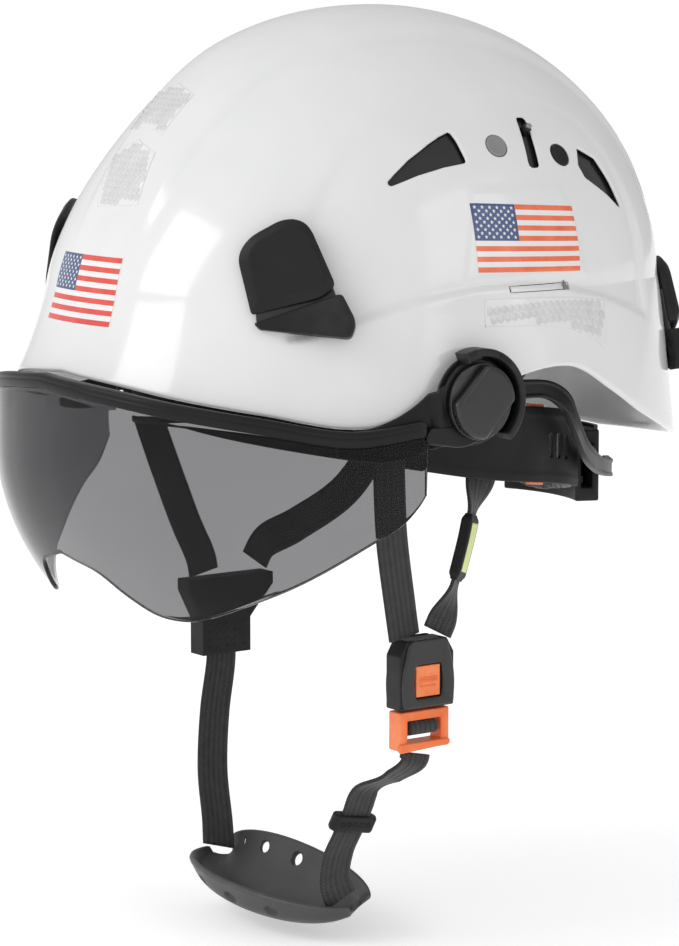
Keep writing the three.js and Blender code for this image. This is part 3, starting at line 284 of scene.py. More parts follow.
def pierced(name, us, vs, outer, inner, holes, material, body, wrap=False, pole=False, rim_round=0.9):
    """A closed sheet with rounded openings. us runs along the columns and vs down the rows."""
    U, Vv = np.meshgrid(np.asarray(us, float), np.asarray(vs, float))
    rows, cols = U.shape
    last = cols if wrap else cols - 1
    r, c = np.meshgrid(np.arange(rows - 1), np.arange(last), indexing="ij")
    n = (c + 1) % cols
    quads = np.stack(
        [r * cols + c, (r + 1) * cols + c, (r + 1) * cols + n, r * cols + n], -1
    ).reshape(-1, 4)
    u_out, v_out, u_in, v_in = U.ravel().copy(), Vv.ravel().copy(), U.ravel().copy(), Vv.ravel().copy()
    uu, vv = U.ravel(), Vv.ravel()
    keep = np.ones(len(quads), bool)
    chains = []
    for hole in holes:
        d = hole.distance(uu, vv)
        gone = d[quads].mean(1) < hole.edge * 0.5
        gone &= keep
        if not gone.any():
            continue
        touched = np.zeros(rows * cols, bool)
        touched[quads[gone].ravel()] = True
        kept = np.zeros(rows * cols, bool)
        kept[quads[keep & ~gone].ravel()] = True
        ring = np.nonzero(touched & kept)[0]
        u_out[ring], v_out[ring] = hole.move(uu[ring], vv[ring], hole.edge)
        u_in[ring], v_in[ring] = hole.move(uu[ring], vv[ring], 0.2)
        keep &= ~gone
        chains.append((hole, ring))
    faces_kept = quads[keep]
    count = rows * cols
    points = [outer(u_out, v_out, 0 * u_out), inner(u_in, v_in)]
    faces = [faces_kept, faces_kept[:, ::-1] + count]
    total = 2 * count
    # Each opening's edge: a quarter round from the outer face, then straight to the inner face.
    edges = np.concatenate([faces_kept[:, [i, (i + 1) % 4]] for i in range(4)])
    keys = {}
    for a, b in edges.tolist():
        keys[(a, b)] = True
    border = np.array([(a, b) for a, b in keys if (b, a) not in keys])
    for hole, ring in chains:
        member = np.full(count, -1)
        member[ring] = np.arange(len(ring))
        mine = border[(member[border[:, 0]] >= 0) & (member[border[:, 1]] >= 0)]
        previous = ring
        for k in range(1, FILLET_STEPS + 1):
            turn = k / FILLET_STEPS * np.pi / 2
            u, v = hole.move(u_out[ring], v_out[ring], hole.edge * (1 - math.sin(turn)))
            points.append(outer(u, v, np.full(len(ring), -hole.edge * (1 - math.cos(turn)))))
            current = total + np.arange(len(ring))
            total += len(ring)
            a, b = member[mine[:, 0]], member[mine[:, 1]]
            faces.append(np.stack([previous[b], previous[a], current[a], current[b]], -1))
            previous = current
        faces.append(np.stack([previous[b], previous[a], ring[a] + count, ring[b] + count], -1))
    # The free outer border, with its own rounding.
    hole_rings = np.zeros(count, bool)
    for _, ring in chains:
        hole_rings[ring] = True
    free = border[~(hole_rings[border[:, 0]] & hole_rings[border[:, 1]])]
    if pole:  # the first row is one point, so it has no border
        free = free[(free >= cols).all(1)]
    if len(free):
        ids = np.unique(free)
        place = np.full(count, -1)
        place[ids] = np.arange(len(ids))
        top, low = points[0][ids], points[1][ids]
        middle = (top + low) / 2
        step = np.zeros((len(ids), 3))
        # Outward in the sheet: away from the neighbours that the border vertex has in the grid.
        near = np.zeros((count, 3))
        weight = np.zeros(count)
        for i in range(4):
            for j in range(4):
                if i != j:
                    np.add.at(near, faces_kept[:, i], points[0][faces_kept[:, j]])
                    np.add.at(weight, faces_kept[:, i], 1)
        away = unit(top - near[ids] / weight[ids][:, None])
        along = unit(top - low)
        away = unit(away - (away * along).sum(-1, keepdims=True) * along)
        half = np.linalg.norm(top - low, axis=-1, keepdims=True) / 2
        bulge = np.minimum(half, rim_round)
        previous = ids
        a, b = place[free[:, 0]], place[free[:, 1]]
        for k in range(1, 4):
            turn = k / 4 * np.pi
            ring_points = middle + along * half * math.cos(turn) + away * bulge * math.sin(turn)
            points.append(ring_points)
            current = total + np.arange(len(ids))
            total += len(ids)
            faces.append(np.stack([previous[b], previous[a], current[a], current[b]], -1))
            previous = current
        faces.append(np.stack([previous[b], previous[a], ids[a] + count, ids[b] + count], -1))
    points = np.concatenate(points)
    faces = np.concatenate(faces)
    used = np.zeros(len(points), bool)
    used[faces.ravel()] = True
    renumber = np.cumsum(used) - 1
    made = piece(name, points[used], renumber[faces].tolist(), material, body)
    return fix_normals(made)


# ------------------------------------------------------------------ materials
def new_material(name, slot):
    made = bpy.data.materials.new(name)
    made.use_nodes = True
    made["slot"] = slot
    tree = made.node_tree
    return made, tree, tree.nodes["Principled BSDF"]


def node(tree, kind, values=None, **settings):
    made = tree.nodes.new("ShaderNode" + kind)
    for key, value in settings.items():
        setattr(made, key, value)
    for key, value in (values or {}).items():
        made.inputs[key].default_value = value
    return made


def math_node(tree, operation, a, b=None):
    made = tree.nodes.new("ShaderNodeMath")
    made.operation = operation
    for i, value in enumerate((a, b)):
        if value is None:
            continue
        if isinstance(value, (int, float)):
            made.inputs[i].default_value = value
        else:
            tree.links.new(value, made.inputs[i])
    return made.outputs[0]


def noise(tree, scale, detail=3.0, vector=None):
    made = node(tree, "TexNoise", {"Scale": scale, "Detail": detail})
    if vector is None:
        vector = node(tree, "TexCoord").outputs["Object"]
    tree.links.new(vector, made.inputs["Vector"])
    return made.outputs["Fac"]


def ramp(tree, factor, low, high, start=0.3, end=0.7):
    made = node(tree, "ValToRGB")
    made.color_ramp.elements[0].position, made.color_ramp.elements[1].position = start, end
    made.color_ramp.elements[0].color, made.color_ramp.elements[1].color = (*low, 1), (*high, 1)
    tree.links.new(factor, made.inputs["Fac"])
    return made.outputs["Color"]


def remap(tree, factor, low, high, start=0.3, end=0.7):
    made = node(tree, "MapRange", {"From Min": start, "From Max": end, "To Min": low, "To Max": high})
    tree.links.new(factor, made.inputs["Value"])
    return made.outputs["Result"]


def bump(tree, shader, height, strength, distance):
    made = node(tree, "Bump", {"Strength": strength, "Distance": distance})
    tree.links.new(height, made.inputs["Height"])
    tree.links.new(made.outputs["Normal"], shader.inputs["Normal"])


def plastic(
    name, slot, dark, light, rough, grain=900.0, depth=0.00012, wear=None, coat=0.0, specular=0.5,
    cloud=35.0
):
    """Moulded plastic: a fine grain, clouded colour and roughness, and a paler rub along sharp edges."""
    made, tree, shader = new_material(name, slot)
    shader.inputs["Coat Weight"].default_value = coat
    shader.inputs["Coat Roughness"].default_value = 0.06
    shader.inputs["Specular IOR Level"].default_value = specular
    colour = ramp(tree, noise(tree, cloud), dark, light)
    if wear:
        edge = node(tree, "NewGeometry").outputs["Pointiness"]
        mask = math_node(
            tree, "MULTIPLY", remap(tree, edge, 0, 1, 0.52, 0.6), remap(tree, noise(tree, 160), 0.2, 1)
        )
        mix = node(tree, "Mix", data_type="RGBA")
        mix.inputs["B"].default_value = (*wear, 1)
        tree.links.new(mask, mix.inputs["Factor"])
        tree.links.new(colour, mix.inputs["A"])
        colour = mix.outputs["Result"]
    tree.links.new(colour, shader.inputs["Base Color"])
    tree.links.new(remap(tree, noise(tree, 60), rough[0], rough[1]), shader.inputs["Roughness"])
    bump(tree, shader, noise(tree, grain, 2.0), 0.5, depth)
    return made


def grey(value):
    return (value, value, value)


WHITE = plastic(
    "glossy_white_abs", "shell_white", (0.70, 0.702, 0.705), (0.73, 0.73, 0.73), (0.13, 0.2), 260,
    0.00002, coat=0.35
)
BLACK = plastic(
    "grained_black_plastic", "black_plastic", grey(0.006), grey(0.011), (0.38, 0.52), 1500, 0.00006,
    grey(0.035), specular=0.24
)
BLACK_SOFT = plastic(
    "matt_black_rubber", "black_plastic", grey(0.007), grey(0.012), (0.5, 0.66), 1100, 0.00008,
    grey(0.03), specular=0.2
)
BLACK_GLOSS = plastic(
    "satin_black_plastic", "black_plastic", grey(0.009), grey(0.015), (0.24, 0.34), 700, 0.00003,
    grey(0.04)
)
BLACK_DEEP = plastic(
    "deep_black_plastic", "black_plastic", grey(0.004), grey(0.008), (0.3, 0.42), 800, 0.00003,
    grey(0.03), specular=0.22
)
ARM_GREY = plastic(
    "charcoal_nylon", "black_plastic", grey(0.032), grey(0.05), (0.4, 0.55), 1300, 0.00005, grey(0.09)
)
GREY = plastic(
    "grey_plug_plastic", "grey_plastic", grey(0.20), grey(0.25), (0.32, 0.45), 900, 0.00004, grey(0.3)
)
ORANGE = plastic(
    "orange_acetal", "orange_plastic", (0.80, 0.135, 0.02), (0.90, 0.18, 0.035), (0.34, 0.46), 900,
    0.00005, (0.95, 0.35, 0.15)
)
LIME = plastic(
    "lime_reflective_film", "reflective_trim", (0.50, 0.62, 0.10), (0.62, 0.72, 0.18), (0.3, 0.4), 500,
    0.00004
)


def steel_material():
    made, tree, shader = new_material("brushed_steel", "steel")
    shader.inputs["Metallic"].default_value = 1.0
    stretch = node(tree, "Mapping")
    stretch.inputs["Scale"].default_value = (1, 12, 1)
    tree.links.new(node(tree, "TexCoord").outputs["Object"], stretch.inputs["Vector"])
    lines = noise(tree, 700, 2.0, stretch.outputs["Vector"])
    tree.links.new(ramp(tree, lines, grey(0.45), grey(0.62)), shader.inputs["Base Color"])
    tree.links.new(remap(tree, lines, 0.25, 0.4), shader.inputs["Roughness"])
    bump(tree, shader, lines, 0.3, 0.00002)
    return made


def lens_material():
    """Smoke-tinted clear plastic; each of its two faces passes half of the light."""
    made, tree, shader = new_material("smoke_polycarbonate", "smoke_lens")
    shader.inputs["Transmission Weight"].default_value = 1.0
    shader.inputs["IOR"].default_value = 1.22
    tree.links.new(
        ramp(tree, noise(tree, 12), (0.225, 0.225, 0.232), (0.25, 0.25, 0.257)),
        shader.inputs["Base Color"]
    )
    tree.links.new(remap(tree, noise(tree, 30), 0.0, 0.01), shader.inputs["Roughness"])
    return made


HERRINGBONE_WIDTH, RIB_PITCH = 1.25, 1.2


def webbing_material(name, low, high):
    """Herringbone webbing, drawn from the strap's own coordinates in millimetres: x along it, y across it."""
    made, tree, shader = new_material(name, "webbing")
    axes = node(tree, "SeparateXYZ")
    tree.links.new(node(tree, "Attribute", attribute_name="strap").outputs["Vector"], axes.inputs[0])
    zigzag = math_node(tree, "PINGPONG", axes.outputs["Y"], HERRINGBONE_WIDTH)
    phase = math_node(
        tree, "MULTIPLY", math_node(tree, "ADD", axes.outputs["X"], zigzag), 2 * math.pi / RIB_PITCH
    )
    twill = math_node(tree, "MULTIPLY", math_node(tree, "ADD", math_node(tree, "SINE", phase), 1.0), 0.5)
    ribs = math_node(tree, "MULTIPLY", zigzag, 1 / HERRINGBONE_WIDTH)
    height = math_node(
        tree, "ADD", math_node(tree, "MULTIPLY", twill, 0.6), math_node(tree, "MULTIPLY", ribs, 0.5)
    )
    fuzz = math_node(tree, "MULTIPLY", noise(tree, 2600, 2.0), 0.35)
    tree.links.new(
        ramp(
            tree, math_node(tree, "ADD", math_node(tree, "MULTIPLY", height, 0.8), fuzz), low, high, 0.25,
            1.0
        ),
        shader.inputs["Base Color"]
    )
    tree.links.new(remap(tree, noise(tree, 300), 0.72, 0.9), shader.inputs["Roughness"])
    shader.inputs["Sheen Weight"].default_value = 0.25
    shader.inputs["Sheen Roughness"].default_value = 0.4
    bump(tree, shader, math_node(tree, "ADD", height, fuzz), 0.7, 0.00018)
    return made


def cloth_material(name, low, high, cell):
    """A knitted or brushed cloth over foam."""
    made, tree, shader = new_material(name, "foam_pad")
    weave = node(tree, "TexVoronoi", {"Scale": cell}, distance="EUCLIDEAN")
    tree.links.new(node(tree, "TexCoord").outputs["Object"], weave.inputs["Vector"])
    tree.links.new(
        ramp(tree, weave.outputs["Distance"], low, high, 0.1, 0.7), shader.inputs["Base Color"]
    )
    tree.links.new(remap(tree, noise(tree, 90), 0.82, 0.95), shader.inputs["Roughness"])
    shader.inputs["Sheen Weight"].default_value = 0.35
    bump(tree, shader, weave.outputs["Distance"], 0.7, 0.0004)
    return made


def printed(name, slot, dark, light, rough, coat=0.2):
    return plastic(name, slot, dark, light, rough, 400, 0.00001, coat=coat, cloud=120.0)


STEEL = steel_material()
LENS = lens_material()
WEBBING = webbing_material("herringbone_webbing", grey(0.008), grey(0.048))
CROWN_WEBBING = webbing_material("crown_webbing", grey(0.010), grey(0.07))
CLOTH = cloth_material("black_mesh_cloth", grey(0.012), grey(0.045), 900)
FLAG_WHITE = printed("flag_white_print", "reflective_trim", grey(0.74), grey(0.77), (0.2, 0.28))
FLAG_RED = printed(
    "flag_red_print", "reflective_trim", (0.62, 0.045, 0.035), (0.72, 0.075, 0.05), (0.22, 0.3)
)
FLAG_ORANGE = printed(
    "side_flag_red_print", "reflective_trim", (0.74, 0.12, 0.045), (0.84, 0.19, 0.08), (0.22, 0.3)
)
FLAG_BLUE = printed(
    "flag_blue_print", "reflective_trim", (0.028, 0.055, 0.16), (0.045, 0.08, 0.22), (0.22, 0.3)
)
FILM = printed("white_reflective_film", "reflective_trim", grey(0.70), grey(0.74), (0.16, 0.26), 0.5)
CELL = printed("reflective_cell", "reflective_trim", grey(0.56), grey(0.64), (0.1, 0.2), 0.6)

# ------------------------------------------------------------------ camera, light and floor
TARGET = Vector((0, -0.008, -0.075))
AZIMUTH, ELEVATION, DISTANCE = 54, 8, 1.5
SENSOR_WIDTH, FOCAL_LENGTH = 36, 190.07


def facing(obj, spot):
    obj.rotation_euler = (spot - obj.location).to_track_quat("-Z", "Y").to_euler()


def polar(azimuth, elevation, distance):
    a, e = math.radians(azimuth), math.radians(elevation)
    return Vector((math.sin(a) * math.cos(e), -math.cos(a) * math.cos(e), math.sin(e))) * distance


camera = bpy.data.objects.new("camera", bpy.data.cameras.new("camera"))
camera.data.sensor_fit = "HORIZONTAL"
camera.data.sensor_width = SENSOR_WIDTH
camera.data.lens = FOCAL_LENGTH
camera.location = TARGET + polar(AZIMUTH, ELEVATION, DISTANCE)
facing(camera, TARGET)
bpy.context.scene.collection.objects.link(camera)
bpy.context.scene.camera = camera
bpy.context.scene.view_settings.view_transform = "Standard"


def area_light(name, azimuth, elevation, distance, size, power, spot=TARGET):
    data = bpy.data.lights.new(name, "AREA")
    data.shape = "RECTANGLE"
    data.size, data.size_y = size
    data.energy = power
    light = bpy.data.objects.new(name, data)
    light.location = TARGET + polar(azimuth, elevation, distance)
    facing(light, spot)
    bpy.context.scene.collection.objects.link(light)
    return light


area_light("key_light", -12, 32, 1.6, (0.8, 0.8), 6.5)
area_light("side_light", 112, 22, 1.8, (0.8, 1.0), 3.2)

world = bpy.data.worlds.new("studio")
world.use_nodes = True
bpy.context.scene.world = world
sky = world.node_tree
backdrop = sky.nodes["Background"]
backdrop.inputs["Color"].default_value = (1, 1, 1, 1)
direction = node(sky, "TexCoord").outputs["Generated"]
lobe = node(sky, "VectorMath", operation="DOT_PRODUCT")
lobe.inputs[1].default_value = polar(-5, 20, 1.0)
sky.links.new(direction, lobe.inputs[0])
# The background is plain white; the light that falls on the object is a little stronger from its front.
seen = node(sky, "LightPath").outputs["Is Camera Ray"]
strength = node(sky, "Mix", {"B": 1.0}, data_type="FLOAT")
sky.links.new(seen, strength.inputs["Factor"])
sky.links.new(remap(sky, lobe.outputs["Value"], 0.40, 0.98, -1.0, 1.0), strength.inputs["A"])
sky.links.new(strength.outputs["Result"], backdrop.inputs["Strength"])

floor_mesh = bpy.data.meshes.new("floor")
FLOOR_Z, FLOOR_HALF = -0.262, 12.0
floor_mesh.from_pydata(
    [
        (x, y, FLOOR_Z)
        for x, y in [
            (-FLOOR_HALF, -FLOOR_HALF), (FLOOR_HALF, -FLOOR_HALF), (FLOOR_HALF, FLOOR_HALF),
            (-FLOOR_HALF, FLOOR_HALF)
        ]
    ],
    [], [(0, 1, 2, 3)],
)
floor = bpy.data.objects.new("floor", floor_mesh)
floor_material = bpy.data.materials.new("pale_floor")
floor_material.use_nodes = True
floor_inputs = floor_material.node_tree.nodes["Principled BSDF"].inputs
floor_inputs["Base Color"].default_value = (0.93, 0.93, 0.93, 1)
floor_inputs["Roughness"].default_value = 0.9
floor_inputs["Emission Color"].default_value = (1, 1, 1, 1)
floor_inputs["Emission Strength"].default_value = 0.32
floor_mesh.materials.append(floor_material)
bpy.context.scene.collection.objects.link(floor)

# ------------------------------------------------------------------ shell
FRONT_VENT = [
    (57, 0.745), (64.5, 0.718), (71, 0.7), (77.2, 0.69), (75.6, 0.635), (74.2, 0.608), (71, 0.622),
    (68, 0.64), (62.5, 0.68), (59, 0.715)
]
REAR_VENT = [
    (114, 0.665), (119.5, 0.695), (121.7, 0.755), (123.2, 0.825), (118.5, 0.785), (112.2, 0.74),
    (111.5, 0.71)
]
PLUGS = {"front": (86.8, 0.65), "rear": (106.2, 0.68)}
PLUG_RADIUS, SLOT_WIDTH = 4.7, 5.6
SLOT = [(98.4, 0.585), (96.4, 0.700)]
KEYWAY_DEG, KEYWAY_Z, KEYWAY_LENGTH, KEYWAY_HEIGHT = 92.0, 9.5, 31.0, 2.2
KEYWAY_V = float(level_of(KEYWAY_DEG, KEYWAY_Z))
BOLT_Y, BOLT_Z = -27.0, -32.0


def scale_at(deg, v):
    """Millimetres per degree and per unit of v at a point on the shell."""
    across = np.linalg.norm(surface(deg + 0.5, v) - surface(deg - 0.5, v))
    down = np.linalg.norm(surface(deg, v + 0.005) - surface(deg, v - 0.005)) / 0.01
    return float(across), float(down)


def shrunk(outline, scale, amount):
    """The outline pulled in towards its middle, so that rounding it outwards brings it back to size."""
    points = np.array(outline, float) * scale
    count = len(points)
    area = sum(
        points[i][0] * points[(i + 1) % count][1] - points[(i + 1) % count][0] * points[i][1]
        for i in range(count)
    )
    made = []
    for i in range(count):
        a, b, c = points[i - 1], points[i], points[(i + 1) % count]
        e1, e2 = (b - a) / np.linalg.norm(b - a), (c - b) / np.linalg.norm(c - b)
        n1, n2 = np.array([-e1[1], e1[0]]), np.array([-e2[1], e2[0]])
        inward = (n1 + n2) * (1 if area > 0 else -1)
        length = max(np.linalg.norm(inward), 0.5)
        made.append(b + inward / length * min(amount / (length / 2), 2.2 * amount))
    return [tuple(p / scale) for p in made]


def shell_holes():
    made = []
    for outline, rounding in ((FRONT_VENT, 1.3), (REAR_VENT, 0.9)):
        middle = np.mean(outline, axis=0)
        scale = np.array(scale_at(*middle))
        made.append(Hole(shrunk(outline, scale, rounding), rounding, scale, 1.0))
    for spot in PLUGS.values():
        made.append(Hole([spot], PLUG_RADIUS + 0.35, scale_at(*spot), 0.6))
    scale = np.array(scale_at(97.4, 0.64))
    half = SLOT_WIDTH / 2 - 1.9
    (top_deg, top_v), (low_deg, low_v) = SLOT
    bar = [
        (top_deg - half / scale[0], top_v), (top_deg + half / scale[0], top_v),
        (low_deg + half / scale[0], low_v), (low_deg - half / scale[0], low_v)
    ]
    made.append(Hole(bar, 1.7, scale, 0.6))
    scale = np.array(scale_at(KEYWAY_DEG, KEYWAY_V))
    half_u, half_v = KEYWAY_LENGTH / 2 / scale[0], (KEYWAY_HEIGHT / 2 - 0.5) / scale[1]
    bar = [
        (KEYWAY_DEG - half_u, KEYWAY_V - half_v), (KEYWAY_DEG + half_u, KEYWAY_V - half_v),
        (KEYWAY_DEG + half_u, KEYWAY_V + half_v), (KEYWAY_DEG - half_u, KEYWAY_V + half_v)
    ]
    made.append(Hole(bar, 0.7, scale, 0.5))
    return made


def spaced(*runs):
    """Grid lines: (from, to, step) runs joined end to end."""
    values = []
    for start, end, step in runs:
        count = max(1, round((end - start) / step))
        values += list(np.linspace(start, end, count, endpoint=False))
    return np.array(values + [runs[-1][1]])


half_turn = spaced((0, 50, 1.25), (50, 130, 0.7), (130, 180, 1.25))
shell_us = np.concatenate([-half_turn[::-1][:-1], half_turn[:-1]])
shell_vs = spaced(
    (0.0, 0.015, 0.015), (0.015, 0.46, 0.022), (0.46, 0.90, 0.0085), (0.90, 1.03, 0.005),
    (1.03, 2.0, 0.03)
)

shell = pierced(
    "outer_shell", shell_us, shell_vs, on_shell, inside_shell, shell_holes(), WHITE, "helmet", wrap=True,
    pole=True
)
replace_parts(shell, "shell")


# ------------------------------------------------------------------ small builders
def crisp(obj):
    """Even shading on flat faces beside narrow rounded edges."""
    modifier = obj.modifiers.new("even_shading", "WEIGHTED_NORMAL")
    modifier.weight = 70
    return obj


def vertices(obj):
    """An object's vertices in millimetres."""
    co = np.zeros(len(obj.data.vertices) * 3)
    obj.data.vertices.foreach_get("co", co)
    return co.reshape(-1, 3) / MM


def put_vertices(obj, points):
    obj.data.vertices.foreach_set("co", (points * MM).ravel())
    obj.data.update()


def pair(obj, right_body, node):
    """Adds the same piece on the wearer's right, and lets both stand for their CAD nodes."""
    name = obj.name.replace("_left", "_right")
    made = bpy.data.objects.new(name, obj.data.copy())
    put_vertices(made, vertices(obj) * (-1, 1, 1))
    made.data.flip_normals()
    bpy.context.scene.collection.objects.link(made)
    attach(made, right_body)
    if obj.modifiers:
        crisp(made)
    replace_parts(obj, node + "_left")
    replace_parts(made, node + "_right")


def rounded(outline, radii, steps=5):
    """The outline with its corners rounded; radii is one size or one per corner."""
    points = [np.array(p, float) for p in outline]
    if isinstance(radii, (int, float)):
        radii = [radii] * len(points)
    made = []
    for i, (corner, radius) in enumerate(zip(points, radii)):
        a, b = points[i - 1], points[(i + 1) % len(points)]
        reach = min(radius, np.linalg.norm(a - corner) / 2.05, np.linalg.norm(b - corner) / 2.05)
        start = corner + (a - corner) / np.linalg.norm(a - corner) * reach
        end = corner + (b - corner) / np.linalg.norm(b - corner) * reach
        for t in np.linspace(0, 1, steps):
            made.append((1 - t) ** 2 * start + 2 * t * (1 - t) * corner + t * t * end)
    return np.array(made)


def pulled_in(outline, amount):
    """The outline moved inwards by an amount, point for point."""
    points = np.asarray(outline, float)
    before, after = np.roll(points, 1, 0), np.roll(points, -1, 0)
    e1, e2 = unit(points - before), unit(after - points)
    area = (points[:, 0] * after[:, 1] - after[:, 0] * points[:, 1]).sum()
    n = (
        np.stack([-e1[:, 1], e1[:, 0]], 1) + np.stack([-e2[:, 1], e2[:, 0]], 1)
    ) * (1 if area > 0 else -1)
    length = np.maximum(np.linalg.norm(n, axis=1, keepdims=True), 0.6)
    return points + n / length * amount / (length / 2)


def placed(points2, lift, frame_at):
    origin, ex, ey, ez = frame_at
    points2 = np.asarray(points2, float)
    return origin + points2[:, :1] * ex + points2[:, 1:2] * ey + np.reshape(
        np.broadcast_to(lift, (len(points2),)), (-1, 1)
    ) * ez


def ring_faces(n, rings, closed=False):
    """The quads between rings of n points, and from the last ring to the first if closed."""
    faces = []
    for k in range(rings if closed else rings - 1):
        low, high = k * n, (k + 1) % rings * n
        faces += [(low + i, low + (i + 1) % n, high + (i + 1) % n, high + i) for i in range(n)]
    return faces


def lofted(name, levels, frame_at, material, body, capped=True):
    """A solid through outlines of equal length at rising lifts, either capped or run back to the first."""
    rings = [placed(outline, lift, frame_at) for outline, lift in levels]
    n = len(rings[0])
    faces = ring_faces(n, len(rings), not capped)
    if capped:
        faces += [tuple(range(n))[::-1], tuple((len(rings) - 1) * n + i for i in range(n))]
    return crisp(fix_normals(piece(name, np.concatenate(rings), faces, material, body)))


def block(name, outline, low, high, frame_at, material, body, edge=0.6, foot=0.0):
    """An extruded outline with rounded edges at the top, and at the foot where it is seen."""
    levels = [(pulled_in(outline, foot), low)] if foot else [(outline, low)]
    if foot:
        levels += [(pulled_in(outline, foot * 0.3), low + foot * 0.3), (outline, low + foot)]
    for t in (0.0, 0.35, 0.7, 1.0):
        a = t * np.pi / 2
        levels.append((pulled_in(outline, edge * (1 - math.cos(a))), high - edge * (1 - math.sin(a))))
    return lofted(name, levels, frame_at, material, body)


def circle2(radius, count=40, middle=(0, 0)):
    a = np.linspace(0, 2 * np.pi, count, endpoint=False)
    return np.stack([middle[0] + radius * np.cos(a), middle[1] + radius * np.sin(a)], 1)


def tube_ring(name, inner, outer, low, high, frame_at, material, body, edge=0.5):
    """A ring between two outlines of equal length, rounded at its upper edges."""
    levels = [
        (outer, low), (outer, high - edge), (pulled_in(outer, edge * 0.3), high - edge * 0.3),
        (pulled_in(outer, edge), high)
    ]
    levels += [
        (pulled_in(inner, -edge), high), (pulled_in(inner, -edge * 0.3), high - edge * 0.3),
        (inner, high - edge), (inner, low)
    ]
    return lofted(name, levels, frame_at, material, body, capped=False)


def seat(deg, v, raised=0.0):
    """A frame on the shell: x to the wearer's left along it, y up, z outward."""
    z = outward(deg, v)
    x = unit(np.cross([0, 0, 1], z))
    return surface(deg, v) + z * raised, x, np.cross(z, x), z


ALONG_X = (np.array([0, 1.0, 0]), np.array([0, 0, 1.0]), np.array([1.0, 0, 0]))


def at_x(x, y=0.0, z=0.0):
    """A frame looking along +X: first coordinate along Y, second along Z."""
    return (np.array([x, y, z]), *ALONG_X)


def joined(name, parts, body):
    """Several pieces made into one object."""
    points, faces, slots, materials = [], [], [], []
    for part in parts:
        mesh = part.data
        start = sum(len(p) for p in points)
        points.append(vertices(part))
        places = []
        for m in mesh.materials:
            if m not in materials:
                materials.append(m)
            places.append(materials.index(m))
        for polygon in mesh.polygons:
            faces.append(tuple(start + i for i in polygon.vertices))
            slots.append(places[polygon.material_index])
    for part in parts:
        bpy.data.objects.remove(part)
    return crisp(piece(name, np.concatenate(points), faces, materials, body, slots=slots))


def refined(node_name, material, edge, name=None):
    """A CAD solid rebuilt with rounded edges. It stands for its node."""
    import bmesh

    source = frame["nodes"][node_name]
    bm = bmesh.new()
    bm.from_mesh(source.data)
    bmesh.ops.remove_doubles(bm, verts=bm.verts, dist=2e-6)
    bmesh.ops.dissolve_limit(bm, angle_limit=math.radians(1.5), verts=bm.verts, edges=bm.edges)
    sharp = [e for e in bm.edges if len(e.link_faces) == 2 and e.calc_face_angle(0) > math.radians(28)]
    bmesh.ops.bevel(
        bm, geom=sharp, offset=edge * MM, segments=2, profile=0.5, affect="EDGES", clamp_overlap=True
    )
    mesh = bpy.data.meshes.new(name or node_name + "_finished")
    bm.to_mesh(mesh)
    bm.free()
    mesh.materials.clear()
    mesh.materials.append(material)
    mesh.polygons.foreach_set("use_smooth", [True] * len(mesh.polygons))
    made = bpy.data.objects.new(mesh.name, mesh)
    bpy.context.scene.collection.objects.link(made)
    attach(made, source["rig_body"])
    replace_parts(made, node_name)
    return crisp(made)


# ------------------------------------------------------------------ vent shutters, plugs, keyway fillers
SHUTTER_DEPTH, SHUTTER_WALL = 4.6, 1.5


def shutter_outer(u, v, lift):
    ribs = 0.25 * np.abs((np.asarray(u) * PER_DEG / 5.0) % 1.0 - 0.5)
    return surface(u, v) + outward(u, v) * (np.asarray(lift) - SHUTTER_DEPTH - ribs)[..., None]


def shutter_inner(u, v):
    return surface(u, v) - outward(u, v) * (SHUTTER_DEPTH + SHUTTER_WALL)


TRAVEL = 12.4
guide_holes = []
for deg, v in PLUGS.values():
    scale = scale_at(deg, v)
    half_u, top_v = 0.6 / scale[0], TRAVEL / scale[1]
    # The shutter slides in a plane of constant y: its slot ends where the shell has the plug's own y.
    tries = np.linspace(deg - 5, deg + 5, 201)
    end = float(
        tries[
            np.argmin(
                np.abs(
                    surface(
                        tries, np.full(201, v - top_v)
                    )[..., 1] - surface(tries, np.full(201, v))[100, 1]
                )
            )
        ]
    )
    guide_holes.append(
        Hole(
            [(deg - half_u, v), (end - half_u, v - top_v), (end + half_u, v - top_v), (deg + half_u, v)],
            5.4, scale, 0.4
        )
    )
shutter = pierced(
    "vent_shutter_plate_left", spaced((54, 127, 1.2)), spaced((0.56, 0.86, 0.012)), shutter_outer,
    shutter_inner, guide_holes, BLACK_GLOSS, "shutter_left"
)
knob_deg, knob_v = 98.15, 0.61
knob_seat = seat(knob_deg, knob_v)
half = 1.35
knob_outline = rounded(
    [(-half, -half - 0.6), (half, -half - 0.6), (half, half + 0.6), (-half, half + 0.6)], 1.5
)
slider_knob = block("slider_knob", knob_outline, -5.2, -0.4, knob_seat, BLACK, "shutter_left", 0.7)
# A grey disc on the black knob's top: a painted highlight, not a separate pin.
knob_painted_highlight = block("knob_painted_highlight", circle2(1.15, 20), -1.2, 0.5, knob_seat, GREY, "shutter_left", 0.4)
shutter = joined("vent_shutter_left_detailed", [shutter, slider_knob, knob_painted_highlight], "shutter_left")
pair(shutter, "shutter_right", "vent_shutter")

# The plug's cap, with a rolled edge and a shallow dish, as (radius, height over the shell).
PLUG_CAP = [
    (PLUG_RADIUS, -0.35), (4.45, -0.08), (4.1, 0), (3.6, 0.02), (3.3, -0.12), (1.5, -0.16), (0.4, -0.16)
]
for place, spot in PLUGS.items():
    low = float(relief(*spot))
    plug_seat = seat(*spot)
    levels = [(circle2(PLUG_RADIUS, 36), -SHUTTER_DEPTH)]
    for radius, lift in PLUG_CAP:
        levels.append((circle2(radius, 36), low + lift))
    plug = lofted(
        "guide_plug_" + place + "_left_cap", levels, plug_seat, GREY if place == "front" else BLACK,
        "helmet"
    )
    pair(plug, "helmet", "guide_plug_" + place)


